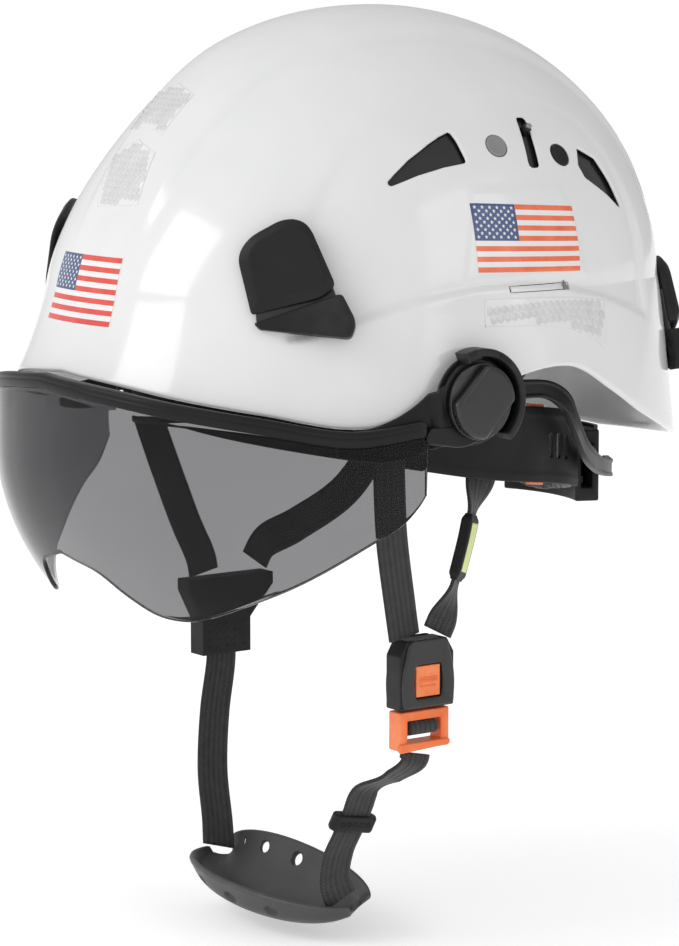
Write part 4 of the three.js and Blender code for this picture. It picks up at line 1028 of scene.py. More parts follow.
def four_way(corners, s, t):
    """Points inside four corners: s runs from the first to the second, and t from the first to the last."""
    a, b, c, d = [np.array(p, float) for p in corners]
    s, t = s[..., None], t[..., None]
    return a * (1 - s) * (1 - t) + b * s * (1 - t) + c * s * t + d * (1 - s) * t


def plate_faces(start, n):
    """The faces of a small plate: a fan round a centre above, another below, and the edge between."""
    low = start + n + 1
    faces = []
    for i in range(n):
        j = (i + 1) % n
        faces += [
            (start + i, start + j, start + n), (low + j, low + i, low + n),
            (start + j, start + i, low + i, low + j)
        ]
    return faces


def shell_patch(name, outline_uv, low, high, material, body, count=14):
    """A thin piece lying on the shell inside an outline of four (degrees, v) corners."""
    s, t = np.meshgrid(np.linspace(0, 1, count * 2 + 1), np.linspace(0, 1, count + 1))
    uv = four_way(outline_uv, s, t)
    return sheet_from(
        name, on_shell(uv[..., 0], uv[..., 1], high), on_shell(uv[..., 0], uv[..., 1], low), material,
        body
    )


def sheet_from(name, top, bottom, material, body, slots=None):
    """A closed sheet between two grids of points."""
    rows, cols = top.shape[:2]
    under = rows * cols
    places = [(r, c) for r in range(rows - 1) for c in range(cols - 1)]
    upper = [
        (r * cols + c, (r + 1) * cols + c, (r + 1) * cols + c + 1, r * cols + c + 1) for r, c in places
    ]
    border = list(range(cols)) + [r * cols + cols - 1 for r in range(1, rows)]
    border += [
        (rows - 1) * cols + c for c in range(cols - 2, -1, -1)
    ] + [r * cols for r in range(rows - 2, 0, -1)]
    lower = [tuple(under + i for i in face[::-1]) for face in upper]
    edge = [(a, b, under + b, under + a) for a, b in zip(border, border[1:] + border[:1])]
    kinds = [slots(r, c) if slots else 0 for r, c in places] + [0] * (len(lower) + len(edge))
    points = np.concatenate([top.reshape(-1, 3), bottom.reshape(-1, 3)])
    return fix_normals(piece(name, points, upper + lower + edge, material, body, slots=kinds))


def loose_patch(name, outline_uv, low, high, material, body):
    """A thin piece on the shell from any outline of (degrees, v) points, filled round its middle."""
    outline_uv = np.array(outline_uv, float)
    middle = outline_uv.mean(0)
    levels = []
    for shrink in (1.0, 0.985, 0.8, 0.6, 0.4, 0.2):
        levels.append(middle + (outline_uv - middle) * shrink)
    rings = [on_shell(levels[0][:, 0], levels[0][:, 1], low)]
    rings += [on_shell(ring[:, 0], ring[:, 1], high) for ring in levels]
    n = len(outline_uv)
    points = np.concatenate(
        rings + [on_shell(middle[0], middle[1], high)[None], on_shell(middle[0], middle[1], low)[None]]
    )
    faces = ring_faces(n, len(rings))
    top, bottom = len(rings) * n, len(rings) * n + 1
    for i in range(n):
        j = (i + 1) % n
        faces.append(((len(rings) - 1) * n + i, (len(rings) - 1) * n + j, top))
        faces.append((j, i, bottom))
    return fix_normals(piece(name, points, faces, material, body))


keyway_scale = scale_at(KEYWAY_DEG, KEYWAY_V)
half_u, half_v = KEYWAY_LENGTH / 2 / keyway_scale[0], KEYWAY_HEIGHT / 2 / keyway_scale[1]
bar = [
    (KEYWAY_DEG - half_u, KEYWAY_V + half_v), (KEYWAY_DEG + half_u, KEYWAY_V + half_v),
    (KEYWAY_DEG + half_u, KEYWAY_V - half_v), (KEYWAY_DEG - half_u, KEYWAY_V - half_v)
]
filler = shell_patch("keyway_filler_left_strip", bar, -1.0, -0.02, WHITE, "helmet", 6)
# The keyway's notch is not cut: a flat grey triangle paints its shade.
notch = loose_patch(
    "keyway_notch_left", [(97.9, 1.0), (99.9, 1.0), (98.95, 0.978)], -0.3, 0.05, GREY, "helmet"
)
filler = joined("keyway_filler_left_detailed", [filler, notch], "helmet")
pair(filler, "helmet", "keyway_filler")


# ------------------------------------------------------------------ flags and reflective film
STRIPES, CANTON_STRIPES, CANTON_SHARE = 13, 7, 0.4


def flag(name, corners, red, body="helmet"):
    """A printed flag: corners run from the canton's corner along the top, then down. (degrees, height)"""
    across, rows = 20, STRIPES * 2
    canton = int(across * CANTON_SHARE)
    s, t = np.meshgrid(np.linspace(0, 1, across + 1), np.linspace(0, 1, rows + 1))

    def place(s, t):
        at = four_way(corners, np.asarray(s, float), np.asarray(t, float))
        return np.stack([at[..., 0], level_of(at[..., 0], at[..., 1])], -1)

    def kind(row, column):
        stripe = row // 2
        if stripe < CANTON_STRIPES and column < canton:
            return 2
        return 1 if stripe % 2 == 0 else 0

    uv = place(s, t)
    base = sheet_from(
        name + "_base", on_shell(uv[..., 0], uv[..., 1], 0.12), on_shell(uv[..., 0], uv[..., 1], -0.1),
        [FLAG_WHITE, red, FLAG_BLUE], body, slots=kind
    )
    ends = place([0, 1, 0], [0, 0, 1])
    spots = on_shell(ends[:, 0], ends[:, 1])
    width, height = np.linalg.norm(spots[1] - spots[0]), np.linalg.norm(spots[2] - spots[0])
    radius = 0.031 * height
    points, faces = [], []
    for row in range(9):
        for column in range(6 if row % 2 == 0 else 5):
            cs = CANTON_SHARE * (2 * column + (1 if row % 2 == 0 else 2)) / 12
            ct = CANTON_STRIPES / STRIPES * (row + 1) / 10
            angles = np.arange(10) * np.pi / 5
            reach = np.where(np.arange(10) % 2 == 0, radius, radius * 0.45)
            ss, tt = cs + reach * np.sin(angles) / width, ct - reach * np.cos(angles) / height
            spots = place(np.append(ss, cs), np.append(tt, ct))
            start = len(points) * 22
            points.append(
                np.concatenate(
                    [on_shell(spots[:, 0], spots[:, 1], 0.17), on_shell(spots[:, 0], spots[:, 1], 0.05)]
                )
            )
            faces += plate_faces(start, 10)
    stars = fix_normals(piece(name + "_stars", np.concatenate(points), faces, FLAG_WHITE, body))
    return joined(name, [base, stars], body)


flag("flag_front", [(-12.4, 21.5), (7.4, 21.5), (7.6, -5.0), (-12.2, -5.0)], FLAG_RED)
flag("flag_side_left", [(75.8, 44.1), (104.2, 41.0), (103.8, 15.0), (76.5, 16.8)], FLAG_ORANGE)
flag("flag_side_right", [(-104.2, 41.0), (-75.8, 44.1), (-76.5, 16.8), (-103.8, 15.0)], FLAG_ORANGE)


def film(name, outline_uv, cell=3.3, margin=1.5, body="helmet"):
    """Reflective film with a honeycomb of raised cells."""
    base = loose_patch(name + "_film", outline_uv, -0.15, 0.16, FILM, body)
    outline_uv = np.array(outline_uv, float)
    middle = outline_uv.mean(0)
    scale = np.array(scale_at(*middle))
    corners = [tuple(p) for p in (outline_uv - middle) * scale]
    span = np.abs(np.array(corners)).max() + cell
    pitch_x, pitch_y = cell, cell * math.sqrt(3) / 2
    points, faces = [], []
    for row in range(-int(span / pitch_y), int(span / pitch_y) + 1):
        for column in range(-int(span / pitch_x), int(span / pitch_x) + 1):
            x, y = (column + 0.5 * (row % 2)) * pitch_x, row * pitch_y
            if polygon_distance(np.array(x), np.array(y), corners) > -margin:
                continue
            angles = np.arange(6) * np.pi / 3 + np.pi / 6
            reach = cell * 0.5
            hexagon = np.stack(
                [x + reach * np.cos(angles), y + reach * np.sin(angles)], 1
            ) / scale + middle
            centre = np.array([[x, y]]) / scale + middle
            spots = np.concatenate([hexagon, centre])
            start = len(points) * 14
            points.append(
                np.concatenate(
                    [on_shell(spots[:, 0], spots[:, 1], 0.26), on_shell(spots[:, 0], spots[:, 1], 0.1)]
                )
            )
            faces += plate_faces(start, 6)
    cells = fix_normals(piece(name + "_cells", np.concatenate(points), faces, CELL, body))
    return joined(name, [base, cells], body)


def densified(corners, step=6):
    """Corner points with others between them, so that a patch follows the surface."""
    made = []
    for a, b in zip(corners, corners[1:] + corners[:1]):
        made += [(a[0] + (b[0] - a[0]) * k / step, a[1] + (b[1] - a[1]) * k / step) for k in range(step)]
    return made


film(
    "film_forehead_lower",
    densified([(-6.5, 0.816), (6.3, 0.803), (3.8, 0.680), (-5.5, 0.650), (-13.0, 0.689)])
)
film(
    "film_forehead_upper",
    densified([(2.2, 0.634), (3.2, 0.520), (-8.5, 0.490), (-20.0, 0.528), (-15.5, 0.643), (-6.5, 0.614)])
)
film(
    "film_ear_left",
    densified([(77.2, 1.05), (92.5, 1.085), (109.5, 1.14), (108.7, 1.64), (92.5, 1.46), (77, 1.345)])
)
film(
    "film_ear_right",
    densified(
        [(-77.2, 1.05), (-92.5, 1.085), (-109.5, 1.14), (-108.7, 1.64), (-92.5, 1.46), (-77, 1.345)]
    )
)


# ------------------------------------------------------------------ headlamp clips
CLIP_SEAT = (39.0, 16.0)
# Outlines as (degrees, height) on the shell: the upper tab, and the wedge below it.
TAB_OUTLINE = [
    (33.5, 2.0), (44.8, 8.2), (46.8, 11.3), (47.2, 13.9), (42.8, 33.5), (41.5, 36.5), (39.5, 38),
    (37, 37.5), (31.8, 31), (30.2, 24)
]
WEDGE_OUTLINE = [(35.0, -3.4), (50.2, -7.6), (51.2, -1.6), (48.5, 9.8), (34, -1.2)]


def local(points_deg_z, frame_at):
    origin, ex, ey, _ = frame_at
    at = surface(
        [p[0] for p in points_deg_z], level_of([p[0] for p in points_deg_z], [p[1] for p in points_deg_z])
    )
    return np.stack([(at - origin) @ ex, (at - origin) @ ey], 1)


clip_frame = seat(CLIP_SEAT[0], float(level_of(*CLIP_SEAT)))
tab_shape = rounded(local(TAB_OUTLINE, clip_frame), [1.5, 3, 2, 3, 6, 3, 5, 3, 7, 6])
wedge_shape = rounded(local(WEDGE_OUTLINE, clip_frame), [0.8, 2.0, 3.5, 2.0, 0.8])
base_shape = rounded(local([(34.5, -2.5), (49.5, -5), (47.5, 9), (44.5, 26), (33, 20)], clip_frame), 2.0)


def towards_middle(outline, amount):
    """The outline shrunk about its middle by an amount at its mean radius."""
    middle = outline.mean(0)
    return middle + (outline - middle) * (1 - amount / np.linalg.norm(outline - middle, axis=1).mean())


# How far each ring is drawn in, and its lift at the thin and at the thick edge.
TAB_LIFTS = [(0.0, 1.3, 3.9), (0.3, 1.6, 4.3), (2.9, 2.7, 6.1), (3.5, 2.9, 6.4), (4.6, 3.0, 6.6)]
WEDGE_LIFTS = [(0.0, 1.8, 4.2), (0.5, 2.0, 5.0), (2.0, 2.2, 5.9)]


def sloping(shape, lifts):
    """Rings of a top that slopes across the shape."""
    rings = []
    for inset_by, low, high in lifts:
        ring = towards_middle(shape, inset_by)
        rise = smooth((ring[:, 0] - shape[:, 0].min()) / np.ptp(shape[:, 0]))
        rings.append((ring, low + (high - low) * rise))
    return rings


def clip(name, frame_at):
    """A spring tab over a slot, and the wedge that a lamp's strap catches on."""
    tab = [(towards_middle(tab_shape, 0.4), 0.4), (tab_shape, 0.9)]
    tab += sloping(tab_shape, TAB_LIFTS)
    wedge = [(wedge_shape, -2.4), (wedge_shape, 1.6)]
    parts = [
        lofted(name + "_tab", tab, frame_at, BLACK, "helmet"),
        lofted(name + "_wedge", wedge + sloping(wedge_shape, WEDGE_LIFTS), frame_at, BLACK, "helmet"),
        block(name + "_base", base_shape, -2.6, 1.0, frame_at, BLACK_GLOSS, "helmet", 0.4),
    ]
    return joined(name, parts, "helmet")


pair(clip("headlamp_clip_front_left_detailed", clip_frame), "helmet", "headlamp_clip_front")
rear_frame = seat(152.5, float(level_of(152.5, -9.0)))
# The rear clip is the front one turned round, so that its slope still falls away from the ear.
origin, ex, ey, ez = rear_frame
rear_clip = clip("headlamp_clip_rear_left_detailed", (origin, -ex, ey, ez))
pair(rear_clip, "helmet", "headlamp_clip_rear")

# ------------------------------------------------------------------ visor
VISOR_FRONT, VISOR_SIDE, VISOR_WALL = 162.0, 122.0, 2.2
VISOR_CHEEK, VISOR_CURL, VISOR_REACH = -58.0, 0.0064, 63.0
LENS_EDGE = [
    (0, -95), (3, -97), (8, -101), (12, -109.5), (16, -116.5), (20, -118.5), (24, -117.5),
    (31, -112), (42, -101), (54, -85), (60, -76), (66, -58),
]
BAND_HEIGHT, BAND_WALL, BAND_SIDE_WALL, LENS_DROP = 5.4, 5.2, 2.6, 5.7


def visor_point(deg, z, depth):
    r = plan_radius(
        deg, VISOR_FRONT, VISOR_FRONT, VISOR_SIDE
    ) - VISOR_CURL * np.maximum(0, VISOR_CHEEK - z) ** 2 - depth
    return stack(r * np.sin(np.radians(deg)), CENTRE_Y - r * np.cos(np.radians(deg)), z)


def band_top(deg):
    return rim_height(np.minimum(np.abs(deg), 62)) - 1.6


def lens_height(u, v):
    top = band_top(u) - LENS_DROP
    return top + (between(LENS_EDGE, np.abs(u)) - top) * v


lens = pierced(
    "visor_lens_moulded", np.linspace(-VISOR_REACH, VISOR_REACH, 190), np.linspace(0, 1, 46),
    lambda u, v, lift: visor_point(u, lens_height(u, v), -np.asarray(lift)),
    lambda u, v: visor_point(u, lens_height(u, v), VISOR_WALL), [], LENS, "visor", rim_round=1.0,
)
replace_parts(lens, "visor_lens")


def frame_height(u, v):
    top = band_top(u)
    low = top - BAND_HEIGHT
    return top + (low - top) * v


def frame_wall(u):
    return np.interp(np.abs(u), [0, 14, 34, 90], [BAND_WALL, BAND_WALL, BAND_SIDE_WALL, BAND_SIDE_WALL])


def frame_outer(u, v, lift):
    groove = 0.35 * np.exp(-(((np.asarray(v) - 0.36) / 0.07) ** 2))
    crown = 0.5 * (1 - (2 * np.asarray(v) - 1) ** 2)
    return visor_point(u, frame_height(u, v), -(0.1 + crown - groove) - np.asarray(lift))


visor_frame = pierced(
    "visor_frame_moulded", np.linspace(
        -VISOR_REACH, VISOR_REACH, 150
    ), np.linspace(0, 1, 14), frame_outer,
    lambda u, v: visor_point(
        u, frame_height(u, v), frame_wall(u)
    ), [], BLACK_DEEP, "visor", rim_round=0.5,
)
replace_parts(visor_frame, "visor_frame")

# Side arms: (y, z, half height) along the arm, which widens into the hub.
PIVOT_X, ARM_WALL = 113.4, 2.6
ARM_PATH = [
    (-27, -32, 12.6), (-36, -34.5, 12.0), (-45, -38, 10.5), (-51.5, -42, 9.2), (-60, -45.4, 7.6),
    (-70, -47.2, 5.8), (-82, -47, 4)
]
HUB_RADIUS, BOLT_RADIUS = 16.5, 3.0


def visor_x(y):
    return VISOR_SIDE * (1 - (np.abs(CENTRE_Y - y) / VISOR_FRONT) ** ROUNDNESS) ** (1 / ROUNDNESS)


def arm_point(u, v, lift):
    y = -np.asarray(u, float)
    table = [(-a, b, c) for a, b, c in ARM_PATH]
    z, half = between(table, u, 1), between(table, u, 2)
    base = PIVOT_X + ARM_WALL / 2
    inner = np.where(y > -46, base, np.minimum(base, visor_x(y) - VISOR_WALL - ARM_WALL - 1.2))
    return stack(inner + lift, y, z + half * v)


arm = pierced(
    "visor_arm_blade_left", np.linspace(27, 82, 40), np.linspace(1, -1, 13),
    lambda u, v, lift: arm_point(u, v, ARM_WALL * (1 - 0.25 * np.asarray(v) ** 2) + np.asarray(lift)),
    lambda u, v: arm_point(u, v, 0.0), [], BLACK_DEEP, "visor", rim_round=0.8,
)
hub = tube_ring(
    "visor_hub_left", circle2(BOLT_RADIUS + 0.5, 44), circle2(HUB_RADIUS, 44), 0, ARM_WALL,
    at_x(PIVOT_X + ARM_WALL / 2, BOLT_Y, BOLT_Z), BLACK_DEEP, "visor", 0.6
)
# A boss under the hub, where the lens is held.
boss = block(
    "visor_boss_left", rounded([(-52, -47), (-34, -50), (-24, -47.5), (-28, -40), (-50, -41)], 4), 0.2,
    2.9, at_x(PIVOT_X + ARM_WALL / 2), BLACK_DEEP, "visor", 1.0
)
pair(joined("visor_arm_left_detailed", [arm, hub, boss], "visor"), "visor", "visor_arm")

# Bracket: a base disc and a C-shaped guard with a slot in it.
RING, RING_WALL = 20.8, 3.3


def arc(radius, start, end, count=40):
    a = np.radians(np.linspace(start, end, count))
    return np.stack([radius * np.cos(a), radius * np.sin(a)], 1)


bracket_frame = at_x(PIVOT_X + 0.2, BOLT_Y, BOLT_Z)
guard_outline = np.concatenate([arc(RING, -49, 102, 46), arc(RING - RING_WALL, 102, -49, 46)])
guard_levels = [
    (guard_outline, 0.0), (guard_outline, 7.2), (pulled_in(guard_outline, 0.3), 8.0),
    (pulled_in(guard_outline, 0.9), 8.4)
]
guard = lofted("bracket_guard", guard_levels, bracket_frame, BLACK, "helmet")
lug_outline = np.concatenate([arc(RING, 92, 114, 12), arc(RING - 4.2, 114, 92, 12)])
lug = block("bracket_lug", lug_outline, 0.0, 8.0, bracket_frame, BLACK, "helmet", 1.2)
base = tube_ring(
    "bracket_base", circle2(BOLT_RADIUS + 0.3, 44), circle2(RING - RING_WALL + 0.2, 44), 0.0, 0.9,
    bracket_frame, BLACK, "helmet", 0.2
)
slot_mark = block(
    "bracket_slot", np.concatenate([arc(RING - 0.9, 48, 68, 10), arc(RING - 2.3, 68, 48, 10)]), 8.3, 8.6,
    bracket_frame, BLACK_SOFT, "helmet", 0.1
)
pair(
    joined("visor_bracket_left_detailed", [guard, lug, base, slot_mark], "helmet"), "helmet",
    "visor_bracket"
)


# Pivot knob: a disc with a cap cut by two flats.
def stadium(radius, flat, angle=45.0, count=60):
    """A circle cut by two parallel flats that run at an angle."""
    a = np.linspace(0, 2 * np.pi, count, endpoint=False)
    u, w = radius * np.cos(a), np.clip(radius * np.sin(a), -flat, flat)
    t = math.radians(angle)
    return np.stack([u * math.cos(t) - w * math.sin(t), u * math.sin(t) + w * math.cos(t)], 1)


knob_frame = at_x(PIVOT_X + ARM_WALL * 1.5 + 0.4, BOLT_Y, BOLT_Z)
knob_disc = [
    (circle2(radius, 60), lift) for radius, lift in ((14.2, 0), (15, 0.6), (15, 1.8), (14.7, 2.2))
]
# The cap's radius, its half width between the flats, and the height of each.
KNOB_CAP = [
    (14.4, 10.3, 2.0), (14.4, 10.3, 4.3), (14.1, 10.0, 5.1), (13.2, 9.3, 5.7), (12.2, 8.4, 5.65),
    (11.6, 7.9, 5.75), (4, 3.4, 5.95),
]
knob_cap = [(stadium(radius, flat), lift) for radius, flat, lift in KNOB_CAP]
knob_parts = [
    lofted("knob_disc", knob_disc, knob_frame, BLACK_GLOSS, "knob_left"),
    lofted("knob_cap", knob_cap, knob_frame, BLACK_GLOSS, "knob_left")
]
pair(joined("visor_knob_left_detailed", knob_parts, "knob_left"), "knob_right", "visor_knob")
for side in ("left", "right"):
    refined("visor_bolt_" + side, STEEL, 0.3)

# ------------------------------------------------------------------ headband
HEAD_X, HEAD_Y, HEAD_CENTRE, HEAD_WALL, HEAD_TAILS = 80.0, 102.0, 5.0, 1.8, 134.0
HEAD_LINE = [(0, -30), (60, -46), (90, -54), (125, -61), (150, -70), (180, -78)]


def head_point(deg, offset, height):
    deg = np.asarray(deg, float)
    c, s = np.cos(np.radians(deg)), np.sin(np.radians(deg))
    r = 1 / np.hypot(c / HEAD_Y, s / HEAD_X)
    normal = unit(stack(r * s / HEAD_X**2, -r * c / HEAD_Y**2, 0 * r))
    return stack(
        r * s, HEAD_CENTRE - r * c, between(HEAD_LINE, fold(deg)) + height
    ) + normal * np.asarray(offset, float)[..., None]


def band_outer(u, v, lift):
    bead = 0.35 * smooth(1 - np.abs(np.abs(np.asarray(v)) - 12.6) / 1.6)
    return head_point(u, HEAD_WALL - 0.4 + bead + np.asarray(lift), v)


band_holes = []
for deg in (30, 36, 42, 118, 122, 126):
    corners = [(deg - 0.4, -4.0), (deg + 0.4, -4.0), (deg + 0.4, 4.0), (deg - 0.4, 4.0)]
    band_holes.append(Hole(corners, 1.1, (1.6, 1.0), 0.35))
headband = pierced(
    "headband_moulded", np.linspace(-HEAD_TAILS, HEAD_TAILS, 300), np.linspace(15, -15, 31), band_outer,
    lambda u, v: head_point(u, 0 * np.asarray(u, float), v), band_holes, BLACK_SOFT, "suspension",
    rim_round=0.6
)
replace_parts(headband, "headband")


# ------------------------------------------------------------------ straps
WEB_WIDTH, WEB_WALL = 15.0, 1.7
BUCKLE_X, BUCKLE_Y, BUCKLE_TOP, BUCKLE_BOTTOM = 75.0, -22.5, -132.0, -160.0
TONGUE_BOTTOM = -177.0
DIVIDER_X, DIVIDER_Y, DIVIDER_BOTTOM, LOOP_Z = -73.0, -19.0, -161.0, -151.0
FRONT_LEFT = [(91.5, -55, -14), (87, -48, -50), (79, -40, -88), (75.5, -33, -118), (75, -30.5, -131)]
REAR_LEFT = [
    (96.5, 21, -13), (90, 20, -19), (82, 17.5, -28), (76.8, 15, -37), (75.4, 10, -62), (75.6, 3.5, -82),
    (75.6, 0, -95), (75.2, -8, -119), (75, -13.8, -130.6),
]
FRONT_RIGHT = [
    (-91.5, -55, -14), (-88, -52, -42), (-80, -50, -60), (-75, -36, -102), (-73, -29.5, -118),
    (-73, -28, -124.8)
]
REAR_RIGHT = [
    (-86, 76, -14), (-87, 79, -38), (-84, 79.5, -60), (-81.5, 68, -82), (-77, 50, -97), (-74.5, 22, -109),
    (-73, 4, -115), (-73, -1, -122),
]
SLIDER_FROM, SLIDER_TO = np.array([60.5, -38.5, -195]), np.array([49.5, -44.5, -223])


def along_slider(t):
    return tuple(SLIDER_FROM + (SLIDER_TO - SLIDER_FROM) * t)


LOWER_LEFT = [
    (74, -24, -179.4), (73.4, -25, -183.4), (68.5, -31, -189), along_slider(0), along_slider(0.33),
    along_slider(0.67),
    along_slider(1), (47.5, -45, -234), (45, -40, -243.6),
]
LOWER_RIGHT = [
    (-73, -19, LOOP_Z), (-72.8, -19, -164), (-69, -25, -186), (-62, -31, -210), (-51, -36, -230),
    (-45, -39.5, -239)
]


def catmull(points, samples=600):
    """A centripetal curve through the points: positions and distance along it."""
    p = [np.array(q, float) for q in points]
    p = [2 * p[0] - p[1]] + p + [2 * p[-1] - p[-2]]
    line = []
    count = len(points) - 1
    for k in range(count):
        p0, p1, p2, p3 = p[k : k + 4]
        d0, d1, d2 = (math.sqrt(np.linalg.norm(b - a)) for a, b in ((p0, p1), (p1, p2), (p2, p3)))
        m1 = ((p1 - p0) / d0 - (p2 - p0) / (d0 + d1) + (p2 - p1) / d1) * d1
        m2 = ((p2 - p1) / d1 - (p3 - p1) / (d1 + d2) + (p3 - p2) / d2) * d1
        t = np.linspace(0, 1, samples // count, endpoint=False)[:, None]
        line.append(
            p1 + m1 * t + (-3 * p1 + 3 * p2 - 2 * m1 - m2) * t**2 + (2 * p1 - 2 * p2 + m1 + m2) * t**3
        )
    line = np.concatenate(line + [p[-2][None]])
    reach = np.concatenate([[0], np.cumsum(np.linalg.norm(np.diff(line, axis=0), axis=1))])
    return line, reach


def stations(points, start=0.0, end=1.0, count=60, across=(0, 1, 0)):
    """Even stations along a curve: position, side and normal at each, and the distance along."""
    line, reach = catmull(points)
    s = np.linspace(start, end, count + 1) * reach[-1]

    def at(s):
        return np.stack([np.interp(s, reach, line[:, i]) for i in range(3)], 1)

    tangent = unit(at(np.minimum(s + 0.4, reach[-1])) - at(np.maximum(s - 0.4, 0)))
    across = across(s / reach[-1]) if callable(across) else np.array([across] * len(s), float)
    side = unit(across - np.sum(tangent * across, axis=1, keepdims=True) * tangent)
    return at(s), side, unit(np.cross(tangent, side)), s


def swept(name, where, section, material, body, strap=True):
    """A section of (side, normal) points carried along stations, or a function of a station's share."""
    at, side, normal, s = where
    rings, coordinates = [], []
    for i in range(len(at)):
        shape = np.asarray(section(i / (len(at) - 1)) if callable(section) else section, float)
        rings.append(at[i] + shape[:, :1] * side[i] + shape[:, 1:2] * normal[i])
        coordinates.append(np.stack([np.full(len(shape), s[i]), shape[:, 0], shape[:, 1]], 1))
    n, m = len(rings[0]), len(rings)
    faces = ring_faces(n, m) + [tuple(range(n)), tuple((m - 1) * n + i for i in range(n))]
    return fix_normals(
        piece(
            name, np.concatenate(rings), faces, material, body,
            strap=np.concatenate(coordinates) if strap else None
        )
    )


def web_section(width=WEB_WIDTH, wall=WEB_WALL, ribs=4):
    """Flat webbing with soft edges and shallow lengthways channels."""
    half, thick = width / 2, wall / 2
    x = np.linspace(-half + 0.5, half - 0.5, 25)
    channel = 0.13 * (0.5 + 0.5 * np.cos(x / half * np.pi * ribs))
    top = np.stack([x, thick - channel], 1)
    bottom = np.stack([x[::-1], -thick + channel[::-1]], 1)
    right = [(half - 0.08, thick * 0.45), (half, 0), (half - 0.08, -thick * 0.45)]
    left = [(-half + 0.08, -thick * 0.45), (-half, 0), (-half + 0.08, thick * 0.45)]
    return np.concatenate([top, right, bottom, left])


def twist(share):
    """The way across the left rear strap: its lower half is turned to face more to the rear."""
    turn = np.radians(41.0) * smooth((share - 0.5) / 0.12) * (1 - smooth((share - 0.84) / 0.13))
    return np.stack([-np.sin(turn), np.cos(turn), 0 * turn], 1)


WEB = web_section()
WEB_PIECES = [
    ("front_strap_left", FRONT_LEFT, "helmet"), ("rear_strap_left", REAR_LEFT, "helmet"),
    ("front_strap_right", FRONT_RIGHT, "helmet"), ("rear_strap_right", REAR_RIGHT, "helmet"),
    ("lower_strap_left", LOWER_LEFT, "chin_loop"), ("lower_strap_right", LOWER_RIGHT, "chin_loop"),
]
for strap_name, route, body in WEB_PIECES:
    across = twist if strap_name == "rear_strap_left" else (0, 1, 0)
    strap = swept(strap_name + "_webbing", stations(route, 0.0, 1.0, 110, across), WEB, WEBBING, body)
    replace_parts(strap, strap_name)


def strap_eye(count=28, bore=2.0, outside=2.9):
    """The lower right strap's sewn eye, which turns on the divider's bar."""
    start, end = DIVIDER_Y - WEB_WIDTH / 2, DIVIDER_Y + WEB_WIDTH / 2
    rings = []
    for radius, y in ((bore, start), (outside, start), (outside, end), (bore, end)):
        x, z = circle2(radius, count, (DIVIDER_X, LOOP_Z)).T
        rings.append(stack(x, y, z))
    points = np.concatenate(rings)
    faces = ring_faces(count, len(rings), closed=True)
    return fix_normals(piece("strap_eye", points, faces, WEBBING, "chin_loop", strap=points))


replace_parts(strap_eye(), "lower_strap_right")

# A roll of webbing through the tongue's window, holding the lower strap.
roll_at = stations([(75.4, -29.0, -168.2), (75.4, -16.2, -168.2)], 0, 1, 30, (0, 0, 1))
a = np.linspace(0, 2 * np.pi, 24, endpoint=False)
roll = swept(
    "tongue_webbing_roll", roll_at, np.stack([3.1 * np.cos(a), 3.4 * np.sin(a)], 1), WEBBING, "chin_loop",
    strap=False
)
coordinates = roll.data.attributes.new("strap", "FLOAT_VECTOR", "POINT")
co = np.array([v.co for v in roll.data.vertices]) / MM
turned = np.arctan2(co[:, 2] + 168.2, co[:, 0] - 75.4) * 3.2
coordinates.data.foreach_set("vector", np.stack([turned, co[:, 1], 0 * turned], 1).ravel())

# ------------------------------------------------------------------ crown suspension
CROWN_WIDTH, CROWN_WALL, CROWN_DEPTH, CROWN_SPACING = 20.0, 1.4, 31.0, 2.6
ANCHOR_FRONT, ANCHOR_SIDE, ANCHOR_DEPTH = 56.0, 98.0, 7.0


def inset(deg, v, depth):
    return surface(deg, v) - outward(deg, v) * depth


def crown_route(deg_a, deg_b, layer):
    lift = ANCHOR_DEPTH + WALL + 0.9 + 3.4 + CROWN_WALL / 2
    line = [(1.06, lift, 0), (0.8, lift + 3, 0.6), (0.5, 22, 1.5), (0.22, 29, CROWN_SPACING)]
    ends = [
        [tuple(inset(deg, v, depth + layer * step)) for v, depth, step in line] for deg in (deg_a, deg_b)
    ]
    top = (0, CENTRE_Y, CROWN - CROWN_DEPTH - layer * CROWN_SPACING)
    return ends[0] + [top] + ends[1][::-1]


crown_section = web_section(CROWN_WIDTH, CROWN_WALL, 6)
for tag, deg_a, deg_b, layer in (
    ("a", ANCHOR_FRONT, ANCHOR_FRONT - 180, 0), ("b", -ANCHOR_FRONT, 180 - ANCHOR_FRONT, 1),
    ("c", ANCHOR_SIDE, -ANCHOR_SIDE, 2)
):
    across = (math.cos(math.radians(deg_a)), math.sin(math.radians(deg_a)), 0)
    strap = swept(
        "crown_strap_" + tag + "_webbing", stations(crown_route(deg_a, deg_b, layer), 0, 1, 120, across),
        crown_section, CROWN_WEBBING, "helmet"
    )
    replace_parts(strap, "crown_strap_" + tag)

# ------------------------------------------------------------------ reflective tab on the rear strap
TAB_FROM, TAB_TO, TAB_WIDTH, TAB_WALL = 0.62, 0.83, 18.5, 4.6


def tab_section(share):
    """The tab's outline, which narrows and thins at both ends."""
    end = min(share, 1 - share)
    half, thick = TAB_WIDTH / 2 - 1.6 * smooth(1 - end / 0.08), TAB_WALL / 2 - 0.9 * smooth(1 - end / 0.1)
    return rounded([(-half, -thick), (half, -thick), (half, thick), (-half, thick)], 1.1, 4)


def sleeve(name, where, outer, bore, material, body):
    """A tube with an outer and an inner outline of equal length."""
    at, side, normal, _ = where
    rings = []
    for i in range(len(at)):
        shape = outer(i / (len(at) - 1))
        rings.append(at[i] + shape[:, :1] * side[i] + shape[:, 1:2] * normal[i])
    for i in range(len(at))[::-1]:
        rings.append(at[i] + bore[:, :1] * side[i] + bore[:, 1:2] * normal[i])
    n, m = len(bore), len(rings)
    return fix_normals(piece(name, np.concatenate(rings), ring_faces(n, m, closed=True), material, body))


